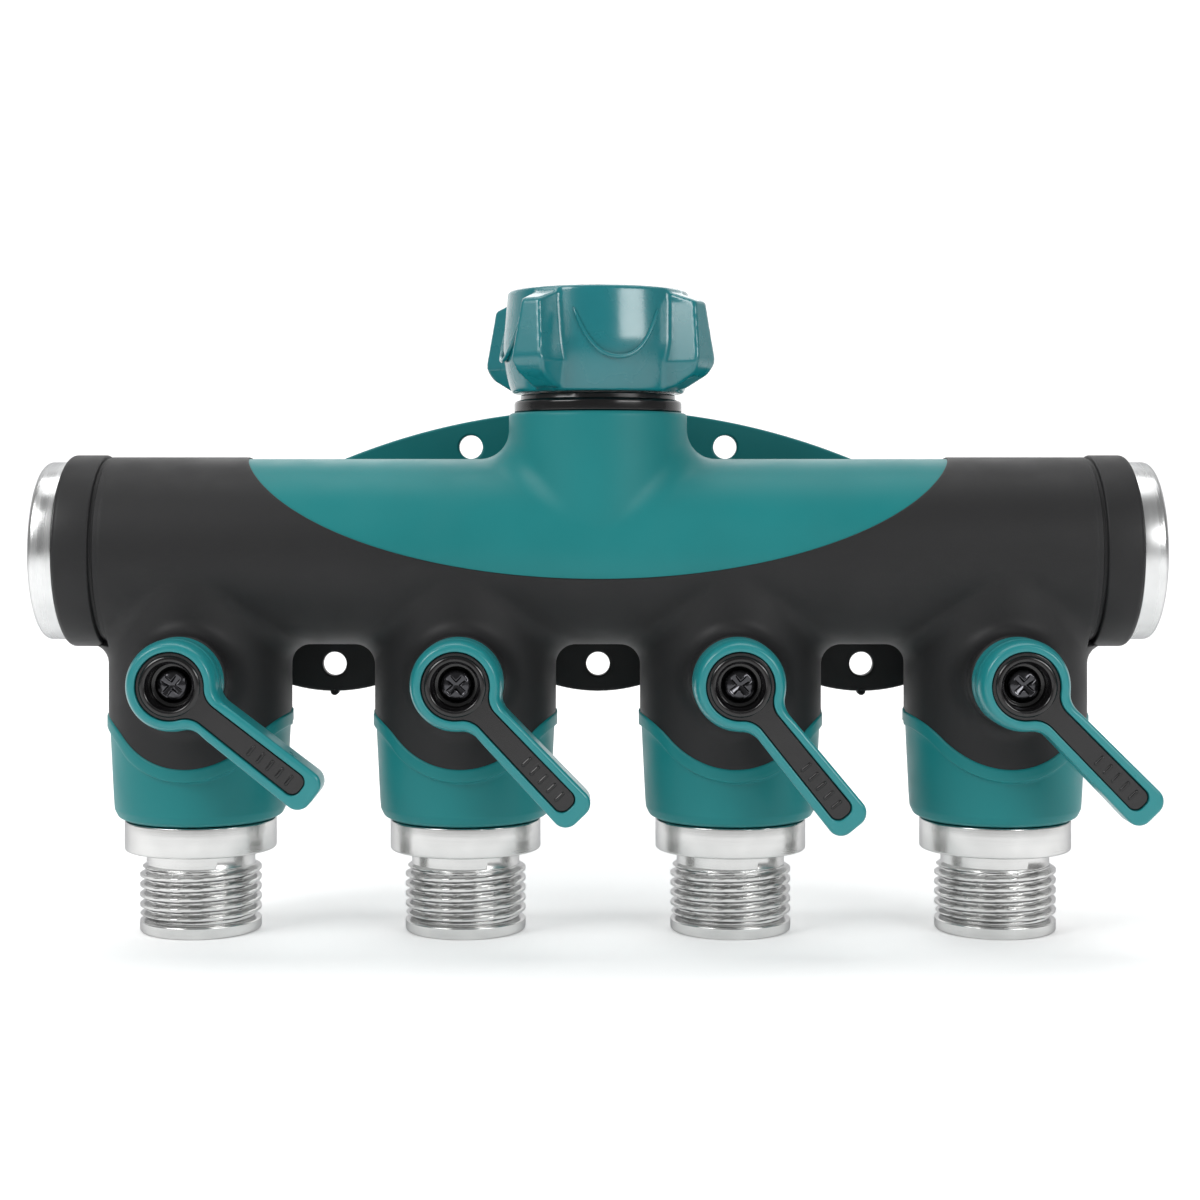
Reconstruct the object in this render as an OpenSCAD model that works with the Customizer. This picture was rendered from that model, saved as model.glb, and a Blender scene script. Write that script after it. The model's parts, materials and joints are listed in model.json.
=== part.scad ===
// Four-way garden hose splitter with a swivel inlet and a lever valve on each outlet.
// Millimetres. +X runs along the barrel, +Y points to the wall behind, +Z is up.
// The origin is on the swivel's axis at the inlet nut's first thread, so the body hangs below it.

/* [Layout] */
// Distance between neighbouring outlets
outlet_pitch = 59.5; // [59:0.5:62]
// Length over the two end plugs
overall_len = 247; // [246:1:256]
// Height from the inlet mouth to the outlet ends
overall_height = 143; // [143:0.5:148]
// Drop from the inlet mouth to the barrel's axis
barrel_drop = 58; // [57.5:0.5:59]
// Drop from the inlet mouth to the valve stems
stem_drop = 85.4; // [85:0.2:86.2]

/* [Body] */
// Outer radius of the barrel, over its rubber skin
barrel_r = 21; // [21:0.1:21.5]
// Outer radius of a branch, over its rubber skin
branch_r = 20.3; // [20:0.1:20.6]
// Radius of the upright neck
neck_r = 20; // [19:0.25:20.5]
// Radius of the water bore along the barrel
barrel_bore_r = 14; // [12:0.5:14.5]
// How deep the coloured window sits below the rubber skin
window_step = 0.4; // [0.2:0.1:0.8]

/* [Wall plate] */
// Distance from the barrel's axis to the plate's wall face
plate_back = 30; // [29.5:0.25:32]
// Thickness of the plate
plate_t = 3; // [2.6:0.1:3.1]
// Half the distance between the two upper screw holes
upper_hole_x = 30.2; // [28:0.2:32]
// Half the distance between the two outer lower screw holes
lower_hole_x = 62.6; // [59:0.2:63]
// Radius of the screw holes
screw_hole_r = 2.8; // [2:0.1:3]

/* [Hose thread] */
// Crest radius of the outlets' male thread
male_crest_r = 13.49; // [13.4:0.01:13.5]
// Root radius of the outlets' male thread
male_root_r = 12.06; // [12:0.01:12.2]
// Crest radius of the inlet nut's female thread
female_crest_r = 12.2; // [12.1:0.01:12.3]
// Root radius of the inlet nut's female thread
female_root_r = 13.62; // [13.55:0.01:13.7]
// Distance between neighbouring crests
thread_pitch = 2.209; // [2:0.001:2.3]

/* [Levers] */
// Angle of each lever below horizontal, left to right: 0 is shut and 90 is open
lever_angles = [38, 46.5, 51, 45.5]; // [0:0.5:90]
// Distance from a lever's pivot to its tip
lever_reach = 38; // [34:0.5:40]
// Radius of a lever's hub
lever_hub_r = 9.75; // [9.5:0.05:10.5]
// Width of a lever's arm at its tip
lever_tip_w = 9; // [8:0.25:10]

/* [Valves] */
// Radius of a valve's ball
ball_r = 12.5; // [12.3:0.1:12.6]
// Radius of the water port through a ball
port_r = 7.5; // [6.5:0.25:7.5]
// Radius of a valve stem where it turns in the body
stem_r = 4.5; // [4:0.1:4.8]

/* [Hidden] */
$fn = 72;
OUTLETS = [1:4];
function numbered(name) = [for (i = OUTLETS) str(name, "_", i)];

// Colours
TEAL = [0.18, 0.49, 0.50];
TEAL_DARK = [0.14, 0.38, 0.38];
BLACK = [0.20, 0.20, 0.20];
ALUMINIUM = [0.80, 0.80, 0.79];
BRASS = [0.78, 0.62, 0.35];
STEEL = [0.55, 0.56, 0.58];
WHITE_PTFE = [0.93, 0.93, 0.90];

// Clearances: a bonded or threaded joint, a turning fit, and a gap that must stay open
snug = 0.03;
running = 0.06;
open_gap = 0.3;
eps = 0.05;

// Levels and places
mouth_z = 1.8;
barrel_z = mouth_z - barrel_drop;
stem_z = mouth_z - stem_drop;
outlet_end_z = mouth_z - overall_height;
function outlet_x(i) = (i - 2.5) * outlet_pitch;

// Barrel: a moulded core under a rubber skin, closed by a plug at each end
skin_t = 2.5;
core_r = barrel_r - skin_t;
skin_half_len = overall_len / 2 - 5.5;
bead_r = barrel_r + 0.45;
bead_len = 8;
bead_groove = 1;
plug_head_r = 19.9;
plug_head_edge = 1.4;
plug_depth = 13;

// Coloured window in the skin: an ellipse seen from the front
window_a = 81;
window_b = 36;
window_z = barrel_z + 30;
window_points = 64;

// Inlet stack
neck_top_z = mouth_z - 27.2;
neck_bore_r = 10.1;
neck_bore_end_z = mouth_z - 42.2;
passage_r = 8.5;
saddle_r = 9;
nut_h = 22.8;
nut_bottom_z = mouth_z - nut_h;
nut_top_r = 20.2;
nut_wide_r = 21.8;
nut_foot_r = 19;
nut_socket_depth = 18.2;
lobe_count = 4;
lobe_turn = -32;
lobe_half_w = 2.6;
lobe_corner_r = 0.8;
lobe_top_r = 27.2;
lobe_wide_r = 29;
mouth_chamfer = 0.6;
female_crests = 5;
washer_t = 3.1;
washer_top_z = mouth_z - 12.3;
washer_r = 12.7;
washer_hole_r = 8;
tail_flange_r = 12;
tail_flange_t = 2.5;
tail_shank_r = 10.4;
tail_bore_r = 7.5;
tail_end_z = mouth_z - 42;
collar_r = 18.8;
collar_step_r = 16.5;
collar_step_z = mouth_z - 24.5;

// Branches and outlets, heights measured up from the outlet end
branch_core_r = 17.5;
sleeve_inner_r = branch_core_r + snug;
branch_core_foot = 27.5;
sleeve_foot = 25.3;
sleeve_floor = 27.4;
sleeve_top = 49.5;
sleeve_lip_r = branch_r + 0.3;
sleeve_lip_w = 2.5;
cavity_r = 12.9;
spigot_shank_r = cavity_r - snug;
spigot_bore_r = 10.1;
spigot_collar_r = 16.85;
spigot_collar_foot = 18.3;
spigot_collar_top = 25;
spigot_relief_foot = 15.3;
end_band_h = 3;
male_crests = 5;
crest_flat = 0.5;
first_crest = end_band_h + 1.9;

// Valves, distances measured forward from the stem axis's middle (the ball's centre)
seat_reach = 11.5;
seat_inner_r = 8.5;
seat_foot = 6.5;
ball_play = 0.06;
ball_flat = 9.6;
tang_w = 3.6;
flange_r = 6;
flange_back = 13;
flange_front = 15;
flange_pocket_r = 6.3;
flange_pocket_front = 15.2;
boss_core_r = 10;
boss_core_front = 23.5;
boss_r = 12.5;
boss_front = 25;
boss_hole_r = 5;
skin_disc_r = 19.3;
groove_mid = 18.8;
groove_w = 2.6;
groove_r = 3.3;

// Levers, distances measured forward as for the valves
lever_back = 25.6;
lever_front = 36.5;
arm_back = 28.5;
arm_root_w = 8;
arm_corner_r = 3;
socket_w = 6.4;
socket_front = 30.6;
stem_front = 30.4;
web_front = 32;
recess_r = 4.75;
insert_r = 7.15;
insert_back = 34;
insert_front = 36.3;
insert_root_w = 4.4;
insert_tip_w = 5;
insert_reach = lever_reach - 3.2;
screw_head_r = 3.75;
screw_head_t = 2;
screw_r = 2;
screw_len = 8;
cross_len = 5;
cross_w = 0.9;
cross_deep = 1.2;

// Wall plate
plate_front = plate_back - plate_t;
plate_top_z = mouth_z - 25.1;
plate_top_r = 159.4;
plate_half_w = 89;
plate_split_z = barrel_z - 12;
web_low_z = mouth_z - 92.1;
web_arc_r = 36.5;
web_skin = 1.2;
nub_r = 1;
upper_hole_z = mouth_z - 34.1;
lower_hole_z = mouth_z - 85.6;
rib_t = 3;
rib_pitch = 26;
rib_low_h = 12;
rib_high_h = 11;

// ---- Helpers ----

// Children drawn along +Z end up along +X
module along_x() {
    rotate([0, 90, 0]) children();
}

// Children drawn in XY with +Z as depth are stood up to face the front at one valve
module at_valve(i) {
    translate([outlet_x(i), 0, stem_z]) rotate([90, 0, 0]) children();
}

// As at_valve, turned to the lever's own angle: +X then runs along the lever
module at_lever(i) {
    at_valve(i) rotate([0, 0, -lever_angles[i - 1]]) children();
}

module at_outlet(i) {
    translate([outlet_x(i), 0, outlet_end_z]) children();
}

// An outline drawn in XZ, extruded from y_back towards the front
module upright(y_back, depth) {
    translate([0, y_back, 0]) rotate([90, 0, 0]) linear_extrude(depth) children();
}

module o_ring(outer_r, inner_r) {
    section_r = (outer_r - inner_r) / 2 - snug;
    rotate_extrude() translate([(outer_r + inner_r) / 2, 0]) circle(r = section_r, $fn = 24);
}

module tube(outer_r, inner_r, length) {
    difference() {
        cylinder(r = outer_r, h = length);
        translate([0, 0, -eps]) cylinder(r = inner_r, h = length + 2 * eps);
    }
}

// ---- Body and skin ----

module window_outline() {
    step = 360 / window_points;
    translate([0, window_z])
        polygon([for (k = [0:window_points - 1]) [window_a * cos(k * step), window_b * sin(k * step)]]);
}

module screw_holes() {
    upright(plate_back + 1, plate_t + 2) {
        for (side = [-1, 1]) translate([side * upper_hole_x, upper_hole_z]) circle(r = screw_hole_r);
        for (x = [-lower_hole_x, 0, lower_hole_x]) translate([x, lower_hole_z]) circle(r = screw_hole_r);
    }
}

// The plate seen from the front: an arch on top and three scallops below
module plate_outline(inset) {
    foot = -100;
    cell = lower_hole_x / 2 + 0.1;
    intersection() {
        translate([0, plate_top_z - plate_top_r]) circle(r = plate_top_r - inset, $fn = 180);
        union() {
            translate([inset - plate_half_w, plate_split_z - 4])
                square([2 * (plate_half_w - inset), 60]);
            for (x = [-lower_hole_x, 0, lower_hole_x])
                intersection() {
                    translate([x, web_low_z + web_arc_r]) circle(r = web_arc_r - inset);
                    translate([max(x - cell, inset - plate_half_w), foot])
                        square([min(2 * cell, plate_half_w - inset - x + cell), plate_split_z - foot]);
                }
        }
    }
}

module above_split() {
    translate([-plate_half_w, plate_split_z]) square([2 * plate_half_w, 60]);
}

// Concave flare that blends the neck into the barrel's top
module neck_saddle() {
    top = barrel_z + core_r + saddle_r;
    intersection() {
        translate([0, 0, barrel_z + core_r]) rotate_extrude() difference() {
            square([neck_r + saddle_r - 1, saddle_r - 0.5]);
            translate([neck_r + saddle_r - 0.4, saddle_r]) circle(r = saddle_r);
        }
        translate([-neck_r - saddle_r, 0, top - core_r - 2]) along_x()
            cylinder(r = core_r + 2, h = 2 * (neck_r + saddle_r));
    }
}

// Upright ribs that hold the plate off the barrel, so that the nut's lobes clear the wall
module standoff_ribs() {
    rib_y = barrel_bore_r + 1;
    for (k = [-3:3])
        translate([k * rib_pitch - rib_t / 2, rib_y, barrel_z - rib_low_h])
            cube([rib_t, plate_front + 1 - rib_y, rib_low_h + rib_high_h]);
}

// The rubber over the ribs' lower half, which joins the barrel's skin to the webs' skin
module rib_coats() {
    coat_y = barrel_bore_r + 1;
    for (k = [-3:3])
        translate([k * rib_pitch - rib_t / 2 - web_skin, coat_y, barrel_z - rib_low_h - web_skin])
            cube([rib_t + 2 * web_skin, plate_front + web_skin - coat_y, rib_low_h - 2]);
}

// Everything the teal moulding fills, before its water ways are cut
module body_solid() {
    window_r = barrel_r - window_step;
    translate([-skin_half_len, 0, barrel_z]) along_x() cylinder(r = core_r, h = 2 * skin_half_len);
    intersection() {
        translate([-window_a, 0, barrel_z]) along_x() cylinder(r = window_r, h = 2 * window_a);
        upright(barrel_r + 1, 2 * barrel_r + 2) window_outline();
    }
    translate([0, 0, barrel_z]) cylinder(r = neck_r, h = neck_top_z - barrel_z);
    neck_saddle();
    for (i = OUTLETS) {
        at_outlet(i) translate([0, 0, branch_core_foot])
            cylinder(r = branch_core_r, h = barrel_z - outlet_end_z - branch_core_foot);
        at_valve(i) cylinder(r = boss_core_r, h = boss_core_front);
    }
    upright(plate_back, plate_t) intersection() {
        plate_outline(0);
        above_split();
    }
    upright(plate_back, plate_t - web_skin) plate_outline(web_skin);
    standoff_ribs();
}

module manifold_body() {
    color(TEAL) difference() {
        body_solid();
        translate([-skin_half_len - 1, 0, barrel_z]) along_x()
            cylinder(r = barrel_bore_r, h = 2 * skin_half_len + 2);
        translate([0, 0, neck_bore_end_z]) cylinder(r = neck_bore_r, h = neck_top_z - neck_bore_end_z + 1);
        translate([0, 0, barrel_z]) cylinder(r = passage_r, h = -barrel_z);
        for (i = OUTLETS) {
            translate([outlet_x(i), 0, outlet_end_z])
                cylinder(r = cavity_r, h = stem_z + seat_reach - outlet_end_z);
            translate([outlet_x(i), 0, stem_z]) cylinder(r = passage_r, h = barrel_z - stem_z);
            at_valve(i) cylinder(r = flange_pocket_r, h = flange_pocket_front);
            at_valve(i) cylinder(r = stem_r + running, h = boss_front);
        }
        screw_holes();
    }
}

// One end of the skin's profile: a groove and then a raised bead
module skin_end() {
    groove_x = skin_half_len - bead_len - bead_groove;
    rotate_extrude() polygon([
        [core_r, 0], [barrel_r, 0], [barrel_r, groove_x], [barrel_r - 0.4, groove_x],
        [barrel_r - 0.4, groove_x + bead_groove], [bead_r - 0.4, groove_x + bead_groove],
        [bead_r, groove_x + bead_groove + 0.4], [bead_r, skin_half_len - 1.2],
        [bead_r - 1.2, skin_half_len], [core_r, skin_half_len]
    ]);
}

module grip_skin() {
    color(BLACK) difference() {
        union() {
            for (side = [-1, 1]) translate([0, 0, barrel_z]) rotate([0, side * 90, 0]) skin_end();
            for (i = OUTLETS) {
                at_outlet(i) translate([0, 0, sleeve_top])
                    cylinder(r = branch_r, h = barrel_z - outlet_end_z - sleeve_top);
                intersection() {
                    at_outlet(i) translate([0, 0, sleeve_floor]) cylinder(r = branch_r, h = 40);
                    at_valve(i) cylinder(r = skin_disc_r, h = boss_front);
                }
                at_valve(i) cylinder(r = boss_r, h = boss_front);
            }
            upright(plate_back, plate_t) difference() {
                plate_outline(0);
                above_split();
            }
            for (side = [-1, 1])
                upright(plate_back, plate_t) translate([side * lower_hole_x, web_low_z]) circle(r = nub_r);
            rib_coats();
        }
        body_solid();
        upright(barrel_r + 2, 2 * barrel_r + 4) window_outline();
        for (i = OUTLETS) at_valve(i) cylinder(r = boss_hole_r, h = boss_front + 1);
        screw_holes();
    }
}

// ---- Outlets ----

// Teal cap around the foot of a branch, cut back in front along the skin's round edge
module outlet_sleeve(i) {
    color(TEAL) difference() {
        union() {
            at_outlet(i) rotate_extrude() polygon([
                [spigot_shank_r + snug, sleeve_foot], [17, sleeve_foot], [18.2, sleeve_foot + 0.7],
                [19, sleeve_foot + 2.2], [19.2, sleeve_foot + 4.7], [20, sleeve_top - sleeve_lip_w - 0.6],
                [sleeve_lip_r, sleeve_top - sleeve_lip_w], [sleeve_lip_r, sleeve_top],
                [sleeve_inner_r, sleeve_top], [sleeve_inner_r, sleeve_floor],
                [spigot_shank_r + snug, sleeve_floor]
            ]);
            intersection() {
                at_outlet(i) translate([0, 0, sleeve_floor])
                    tube(sleeve_lip_r, sleeve_inner_r, sleeve_top - sleeve_floor);
                at_valve(i) cylinder(r = skin_disc_r + sleeve_lip_w, h = boss_front);
            }
        }
        at_valve(i) cylinder(r = skin_disc_r, h = boss_front);
    }
}

// Half the profile of one thread ridge, as heights and radii around its crest
function ridge(mid, crest_r, root_r) = [
    [root_r, mid - 0.9], [crest_r, mid - crest_flat / 2],
    [crest_r, mid + crest_flat / 2], [root_r, mid + 0.9]
];

// Aluminium outlet: a shank held in the branch, a plain collar and a male hose thread
module outlet_spigot(i) {
    shank_top = stem_z - seat_reach - outlet_end_z;
    ring_mid = spigot_collar_top + 14;
    ring_r = cavity_r - 1.5;
    threads = [
        for (k = [0:male_crests - 1])
            each ridge(first_crest + k * thread_pitch, male_crest_r, male_root_r)
    ];
    color(ALUMINIUM) at_outlet(i) rotate_extrude() polygon(concat(
        [[spigot_bore_r, 0], [male_crest_r - 0.8, 0], [male_crest_r, 0.8]],
        [[male_crest_r, end_band_h - 0.6], [male_root_r, end_band_h]],
        threads,
        [[male_root_r, spigot_relief_foot], [male_root_r, spigot_collar_foot]],
        [[spigot_collar_r - 0.5, spigot_collar_foot], [spigot_collar_r, spigot_collar_foot + 0.5]],
        [[spigot_collar_r, spigot_collar_top - 0.4], [spigot_collar_r - 0.4, spigot_collar_top]],
        [[spigot_shank_r, spigot_collar_top], [spigot_shank_r, ring_mid - 1.3], [ring_r, ring_mid - 1.3]],
        [[ring_r, ring_mid + 1.3], [spigot_shank_r, ring_mid + 1.3]],
        [[spigot_shank_r, shank_top - 0.5], [spigot_shank_r - 0.5, shank_top], [spigot_bore_r, shank_top]]
    ));
}

module outlet_o_ring(i) {
    color(BLACK) at_outlet(i) translate([0, 0, spigot_collar_top + 14]) o_ring(cavity_r, cavity_r - 1.5);
}

// ---- Valves ----

// Two plain rings, one above and one below the ball
module valve_seats(i) {
    color(WHITE_PTFE) translate([outlet_x(i), 0, stem_z]) for (side = [0, 180]) rotate([side, 0, 0])
        difference() {
            translate([0, 0, seat_foot]) tube(cavity_r - snug, seat_inner_r, seat_reach - seat_foot - snug);
            sphere(r = ball_r + ball_play);
        }
}

module valve_ball(i) {
    color(STEEL) at_lever(i) difference() {
        sphere(r = ball_r);
        translate([-ball_r - 1, 0, 0]) along_x() cylinder(r = port_r, h = 2 * ball_r + 2);
        translate([-ball_r, -tang_w / 2 - snug, ball_flat]) cube([2 * ball_r, tang_w + 2 * snug, ball_r]);
    }
}

// Brass stem: a tang in the ball, a flange that can't blow out, and a square drive
module valve_stem(i) {
    color(BRASS) at_lever(i) difference() {
        union() {
            translate([0, 0, ball_flat + snug]) intersection() {
                translate([-flange_r, -tang_w / 2, 0])
                    cube([2 * flange_r, tang_w, flange_back - ball_flat]);
                cylinder(r = flange_r - 1, h = flange_back);
            }
            translate([0, 0, flange_back]) cylinder(r = flange_r, h = flange_front - flange_back);
            translate([0, 0, flange_front]) cylinder(r = stem_r, h = lever_back - 0.1 - flange_front);
            intersection() {
                translate([-socket_w / 2 + snug, -socket_w / 2 + snug, lever_back - 0.1])
                    cube([socket_w - 2 * snug, socket_w - 2 * snug, stem_front - lever_back + 0.1]);
                cylinder(r = stem_r - 0.1, h = lever_front);
            }
        }
        translate([0, 0, groove_mid - groove_w / 2]) tube(stem_r + 1, groove_r, groove_w);
        translate([0, 0, web_front - screw_len - 0.5]) cylinder(r = screw_r, h = screw_len + 1);
    }
}

module stem_o_ring(i) {
    color(BLACK) at_lever(i) translate([0, 0, groove_mid]) o_ring(stem_r, groove_r);
}

// ---- Levers ----

// A tapered bar with round corners at its far end, drawn along +X
module arm_outline(root_w, tip_w, reach, corner_r) {
    polygon([[0, -root_w / 2], [reach - corner_r, -tip_w / 2], [reach - corner_r, tip_w / 2], [0, root_w / 2]]);
    translate([reach - 2 * corner_r, corner_r - tip_w / 2]) square([2 * corner_r, tip_w - 2 * corner_r]);
    for (side = [-1, 1])
        translate([reach - corner_r, side * (tip_w / 2 - corner_r)]) circle(r = corner_r);
}

module insert_outline(grow) {
    circle(r = insert_r + grow);
    arm_outline(insert_root_w + 2 * grow, insert_tip_w + 2 * grow, insert_reach + grow, insert_tip_w / 2 - 0.4);
}

module lever(i) {
    color(TEAL) at_lever(i) difference() {
        union() {
            translate([0, 0, lever_back]) cylinder(r = lever_hub_r, h = lever_front - lever_back);
            translate([0, 0, arm_back]) linear_extrude(lever_front - arm_back)
                arm_outline(arm_root_w, lever_tip_w, lever_reach, arm_corner_r);
        }
        intersection() {
            translate([-socket_w / 2, -socket_w / 2, lever_back - 1])
                cube([socket_w, socket_w, socket_front - lever_back + 1]);
            cylinder(r = stem_r, h = socket_front);
        }
        translate([0, 0, lever_back]) cylinder(r = screw_r + 0.2, h = lever_front - lever_back);
        translate([0, 0, web_front]) cylinder(r = recess_r, h = lever_front);
        translate([0, 0, insert_back]) linear_extrude(lever_front) insert_outline(snug);
    }
}

// Black grip strip let into the lever's face, with a ring around the screw's recess
module lever_insert(i) {
    color(BLACK) at_lever(i) translate([0, 0, insert_back + snug]) difference() {
        linear_extrude(insert_front - insert_back - snug) insert_outline(0);
        translate([0, 0, -1]) cylinder(r = recess_r, h = 5);
    }
}

module lever_screw(i) {
    color(STEEL) at_lever(i) difference() {
        union() {
            translate([0, 0, web_front]) cylinder(r = screw_head_r, h = screw_head_t - 0.6);
            translate([0, 0, web_front + screw_head_t - 0.6])
                cylinder(r1 = screw_head_r, r2 = screw_head_r - 0.9, h = 0.6);
            translate([0, 0, web_front - screw_len]) cylinder(r = screw_r - snug, h = screw_len + eps);
        }
        for (turn = [0, 90]) rotate([0, 0, turn])
            translate([-cross_len / 2, -cross_w / 2, web_front + screw_head_t - cross_deep])
                cube([cross_len, cross_w, cross_deep + 1]);
    }
}

// ---- Barrel ends ----

// Aluminium plug: a round-edged head and a grooved shank in the barrel's bore
module end_plug(side) {
    ring_mid = plug_depth / 2;
    ring_r = barrel_bore_r - 1.6;
    head_t = overall_len / 2 - skin_half_len;
    shank_r = barrel_bore_r - snug;
    color(ALUMINIUM) translate([side * skin_half_len, 0, barrel_z]) rotate([0, side * 90, 0])
        rotate_extrude() {
            polygon([
                [0, -plug_depth], [shank_r - 1, -plug_depth], [shank_r, 1 - plug_depth],
                [shank_r, -ring_mid - 1.3], [ring_r, -ring_mid - 1.3], [ring_r, 1.3 - ring_mid],
                [shank_r, 1.3 - ring_mid], [shank_r, snug], [plug_head_r, snug],
                [plug_head_r, head_t - plug_head_edge], [plug_head_r - plug_head_edge, head_t], [0, head_t]
            ]);
            intersection() {
                translate([plug_head_r - plug_head_edge, head_t - plug_head_edge])
                    circle(r = plug_head_edge);
                translate([0, snug]) square([plug_head_r + 1, head_t]);
            }
        }
}

module end_plug_o_ring(side) {
    color(BLACK) translate([side * (skin_half_len - plug_depth / 2), 0, barrel_z]) along_x()
        o_ring(barrel_bore_r, barrel_bore_r - 1.6);
}

// ---- Inlet ----

// Aluminium tail that the nut turns on: a flange under the washer and a grooved shank
module inlet_tail() {
    flange_top = washer_top_z - washer_t;
    flange_foot = flange_top - tail_flange_t;
    shank_r = neck_bore_r - snug;
    ring_mid = (neck_top_z + tail_end_z) / 2;
    ring_r = 8.6;
    color(ALUMINIUM) rotate_extrude() polygon([
        [tail_bore_r, flange_top], [tail_flange_r - 0.3, flange_top], [tail_flange_r, flange_top - 0.3],
        [tail_flange_r, flange_foot], [tail_shank_r, flange_foot], [tail_shank_r, neck_top_z + snug],
        [shank_r, neck_top_z + snug], [shank_r, ring_mid + 1.2], [ring_r, ring_mid + 1.2],
        [ring_r, ring_mid - 1.2], [shank_r, ring_mid - 1.2], [shank_r, tail_end_z + 0.5],
        [shank_r - 0.5, tail_end_z], [tail_bore_r, tail_end_z]
    ]);
}

module inlet_tail_o_ring() {
    color(BLACK) translate([0, 0, (neck_top_z + tail_end_z) / 2]) o_ring(neck_bore_r, 8.6);
}

// Black ring between the neck and the nut's foot
module swivel_collar() {
    top = nut_bottom_z - open_gap;
    color(BLACK) rotate_extrude() polygon([
        [tail_shank_r + snug, neck_top_z + snug], [collar_r - 0.5, neck_top_z + snug],
        [collar_r, neck_top_z + 0.6], [collar_r, collar_step_z - 0.5], [collar_r - 0.5, collar_step_z],
        [collar_step_r, collar_step_z], [collar_step_r, top], [tail_shank_r + snug, top]
    ]);
}

// A bar trimmed to the lobes' side profile, with z measured from the nut's mouth
module nut_lobe() {
    flat_w = lobe_half_w - lobe_corner_r;
    intersection() {
        rotate_extrude() polygon([
            [0, -0.6], [nut_top_r, -0.6], [lobe_top_r - 0.8, -3.2], [lobe_top_r, -4],
            [lobe_wide_r, -15.8], [lobe_wide_r, -17], [lobe_wide_r - 1.6, -19.6],
            [nut_foot_r, 0.2 - nut_h], [0, 0.2 - nut_h]
        ]);
        translate([0, 0, -nut_h]) linear_extrude(nut_h) {
            translate([0, -flat_w]) square([lobe_wide_r, 2 * flat_w]);
            translate([0, -lobe_half_w]) square([lobe_wide_r - lobe_corner_r, 2 * lobe_half_w]);
            for (side = [-1, 1])
                translate([lobe_wide_r - lobe_corner_r, side * flat_w]) circle(r = lobe_corner_r, $fn = 24);
        }
    }
}

// Lobed swivel nut with the female hose thread and an inner lip under the tail's flange
module inlet_nut() {
    threads = [
        for (k = [0:female_crests - 1])
            each ridge(mouth_z + k * thread_pitch, female_crest_r, female_root_r)
    ];
    color(TEAL) translate([0, 0, mouth_z]) difference() {
        union() {
            rotate_extrude() polygon([
                [0, 0], [nut_top_r - 0.8, 0], [nut_top_r, -0.8], [nut_wide_r, -18.5],
                [nut_wide_r - 0.6, -20.8], [nut_foot_r, -nut_h], [0, -nut_h]
            ]);
            for (k = [0:lobe_count - 1]) rotate([0, 0, lobe_turn + k * 360 / lobe_count]) nut_lobe();
        }
        mirror([0, 0, 1]) rotate_extrude() polygon(concat(
            [[0, -1], [female_root_r + mouth_chamfer, -1], [female_root_r + mouth_chamfer, 0]],
            [[female_root_r, mouth_chamfer]],
            threads,
            [[female_root_r, nut_socket_depth], [0, nut_socket_depth]]
        ));
        translate([0, 0, -nut_h - 1]) cylinder(r = tail_shank_r + running, h = 6);
    }
}

module inlet_washer() {
    color(BLACK) translate([0, 0, washer_top_z - washer_t]) tube(washer_r, washer_hole_r, washer_t);
}

// ---- Assembly ----

manifold_body();
grip_skin();
for (i = OUTLETS) {
    outlet_sleeve(i);
    outlet_spigot(i);
    outlet_o_ring(i);
    valve_seats(i);
    valve_ball(i);
    valve_stem(i);
    stem_o_ring(i);
    lever(i);
    lever_insert(i);
    lever_screw(i);
}
end_plug(-1);  // end_plug_left
end_plug(1);  // end_plug_right
end_plug_o_ring(-1);  // end_plug_o_ring_left
end_plug_o_ring(1);  // end_plug_o_ring_right
inlet_tail();
inlet_tail_o_ring();
swivel_collar();
inlet_nut();
inlet_washer();
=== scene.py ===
import json
import math

import bpy
import mathutils
import numpy as np
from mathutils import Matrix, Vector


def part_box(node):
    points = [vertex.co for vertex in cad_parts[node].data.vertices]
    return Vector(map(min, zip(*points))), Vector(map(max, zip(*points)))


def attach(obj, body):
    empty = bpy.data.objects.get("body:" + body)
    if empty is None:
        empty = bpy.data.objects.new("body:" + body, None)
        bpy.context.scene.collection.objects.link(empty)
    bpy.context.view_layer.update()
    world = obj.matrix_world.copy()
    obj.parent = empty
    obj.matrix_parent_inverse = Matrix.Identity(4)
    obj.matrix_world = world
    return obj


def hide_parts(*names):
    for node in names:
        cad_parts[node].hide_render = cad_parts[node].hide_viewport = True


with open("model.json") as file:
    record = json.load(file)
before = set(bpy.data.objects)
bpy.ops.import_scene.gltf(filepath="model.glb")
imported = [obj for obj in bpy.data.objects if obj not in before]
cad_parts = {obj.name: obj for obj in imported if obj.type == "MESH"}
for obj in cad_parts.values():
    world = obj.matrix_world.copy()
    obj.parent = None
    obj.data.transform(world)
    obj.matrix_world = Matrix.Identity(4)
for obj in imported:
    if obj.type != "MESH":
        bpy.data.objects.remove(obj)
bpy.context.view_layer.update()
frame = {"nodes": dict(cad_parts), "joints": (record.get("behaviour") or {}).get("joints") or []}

# All shapes below are worked out in millimetres and turned into metres when a mesh is made.
MM = 0.001
FAR = 99.0
OUTLETS = (1, 2, 3, 4)


def node_box(node):
    """Lowest and highest corner of a CAD node, in millimetres."""
    low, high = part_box(node)
    return np.array(low) / MM, np.array(high) / MM


# ---- Places and sizes from the frame ----

JOINTS = {joint["name"]: joint for joint in frame["joints"]}
PIVOTS = {i: np.array(JOINTS[f"lever_{i}_turn"]["pos_m"]) / MM for i in OUTLETS}
LEVER_DROP = {i: -JOINTS[f"lever_{i}_turn"]["range_deg"][0] for i in OUTLETS}

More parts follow.
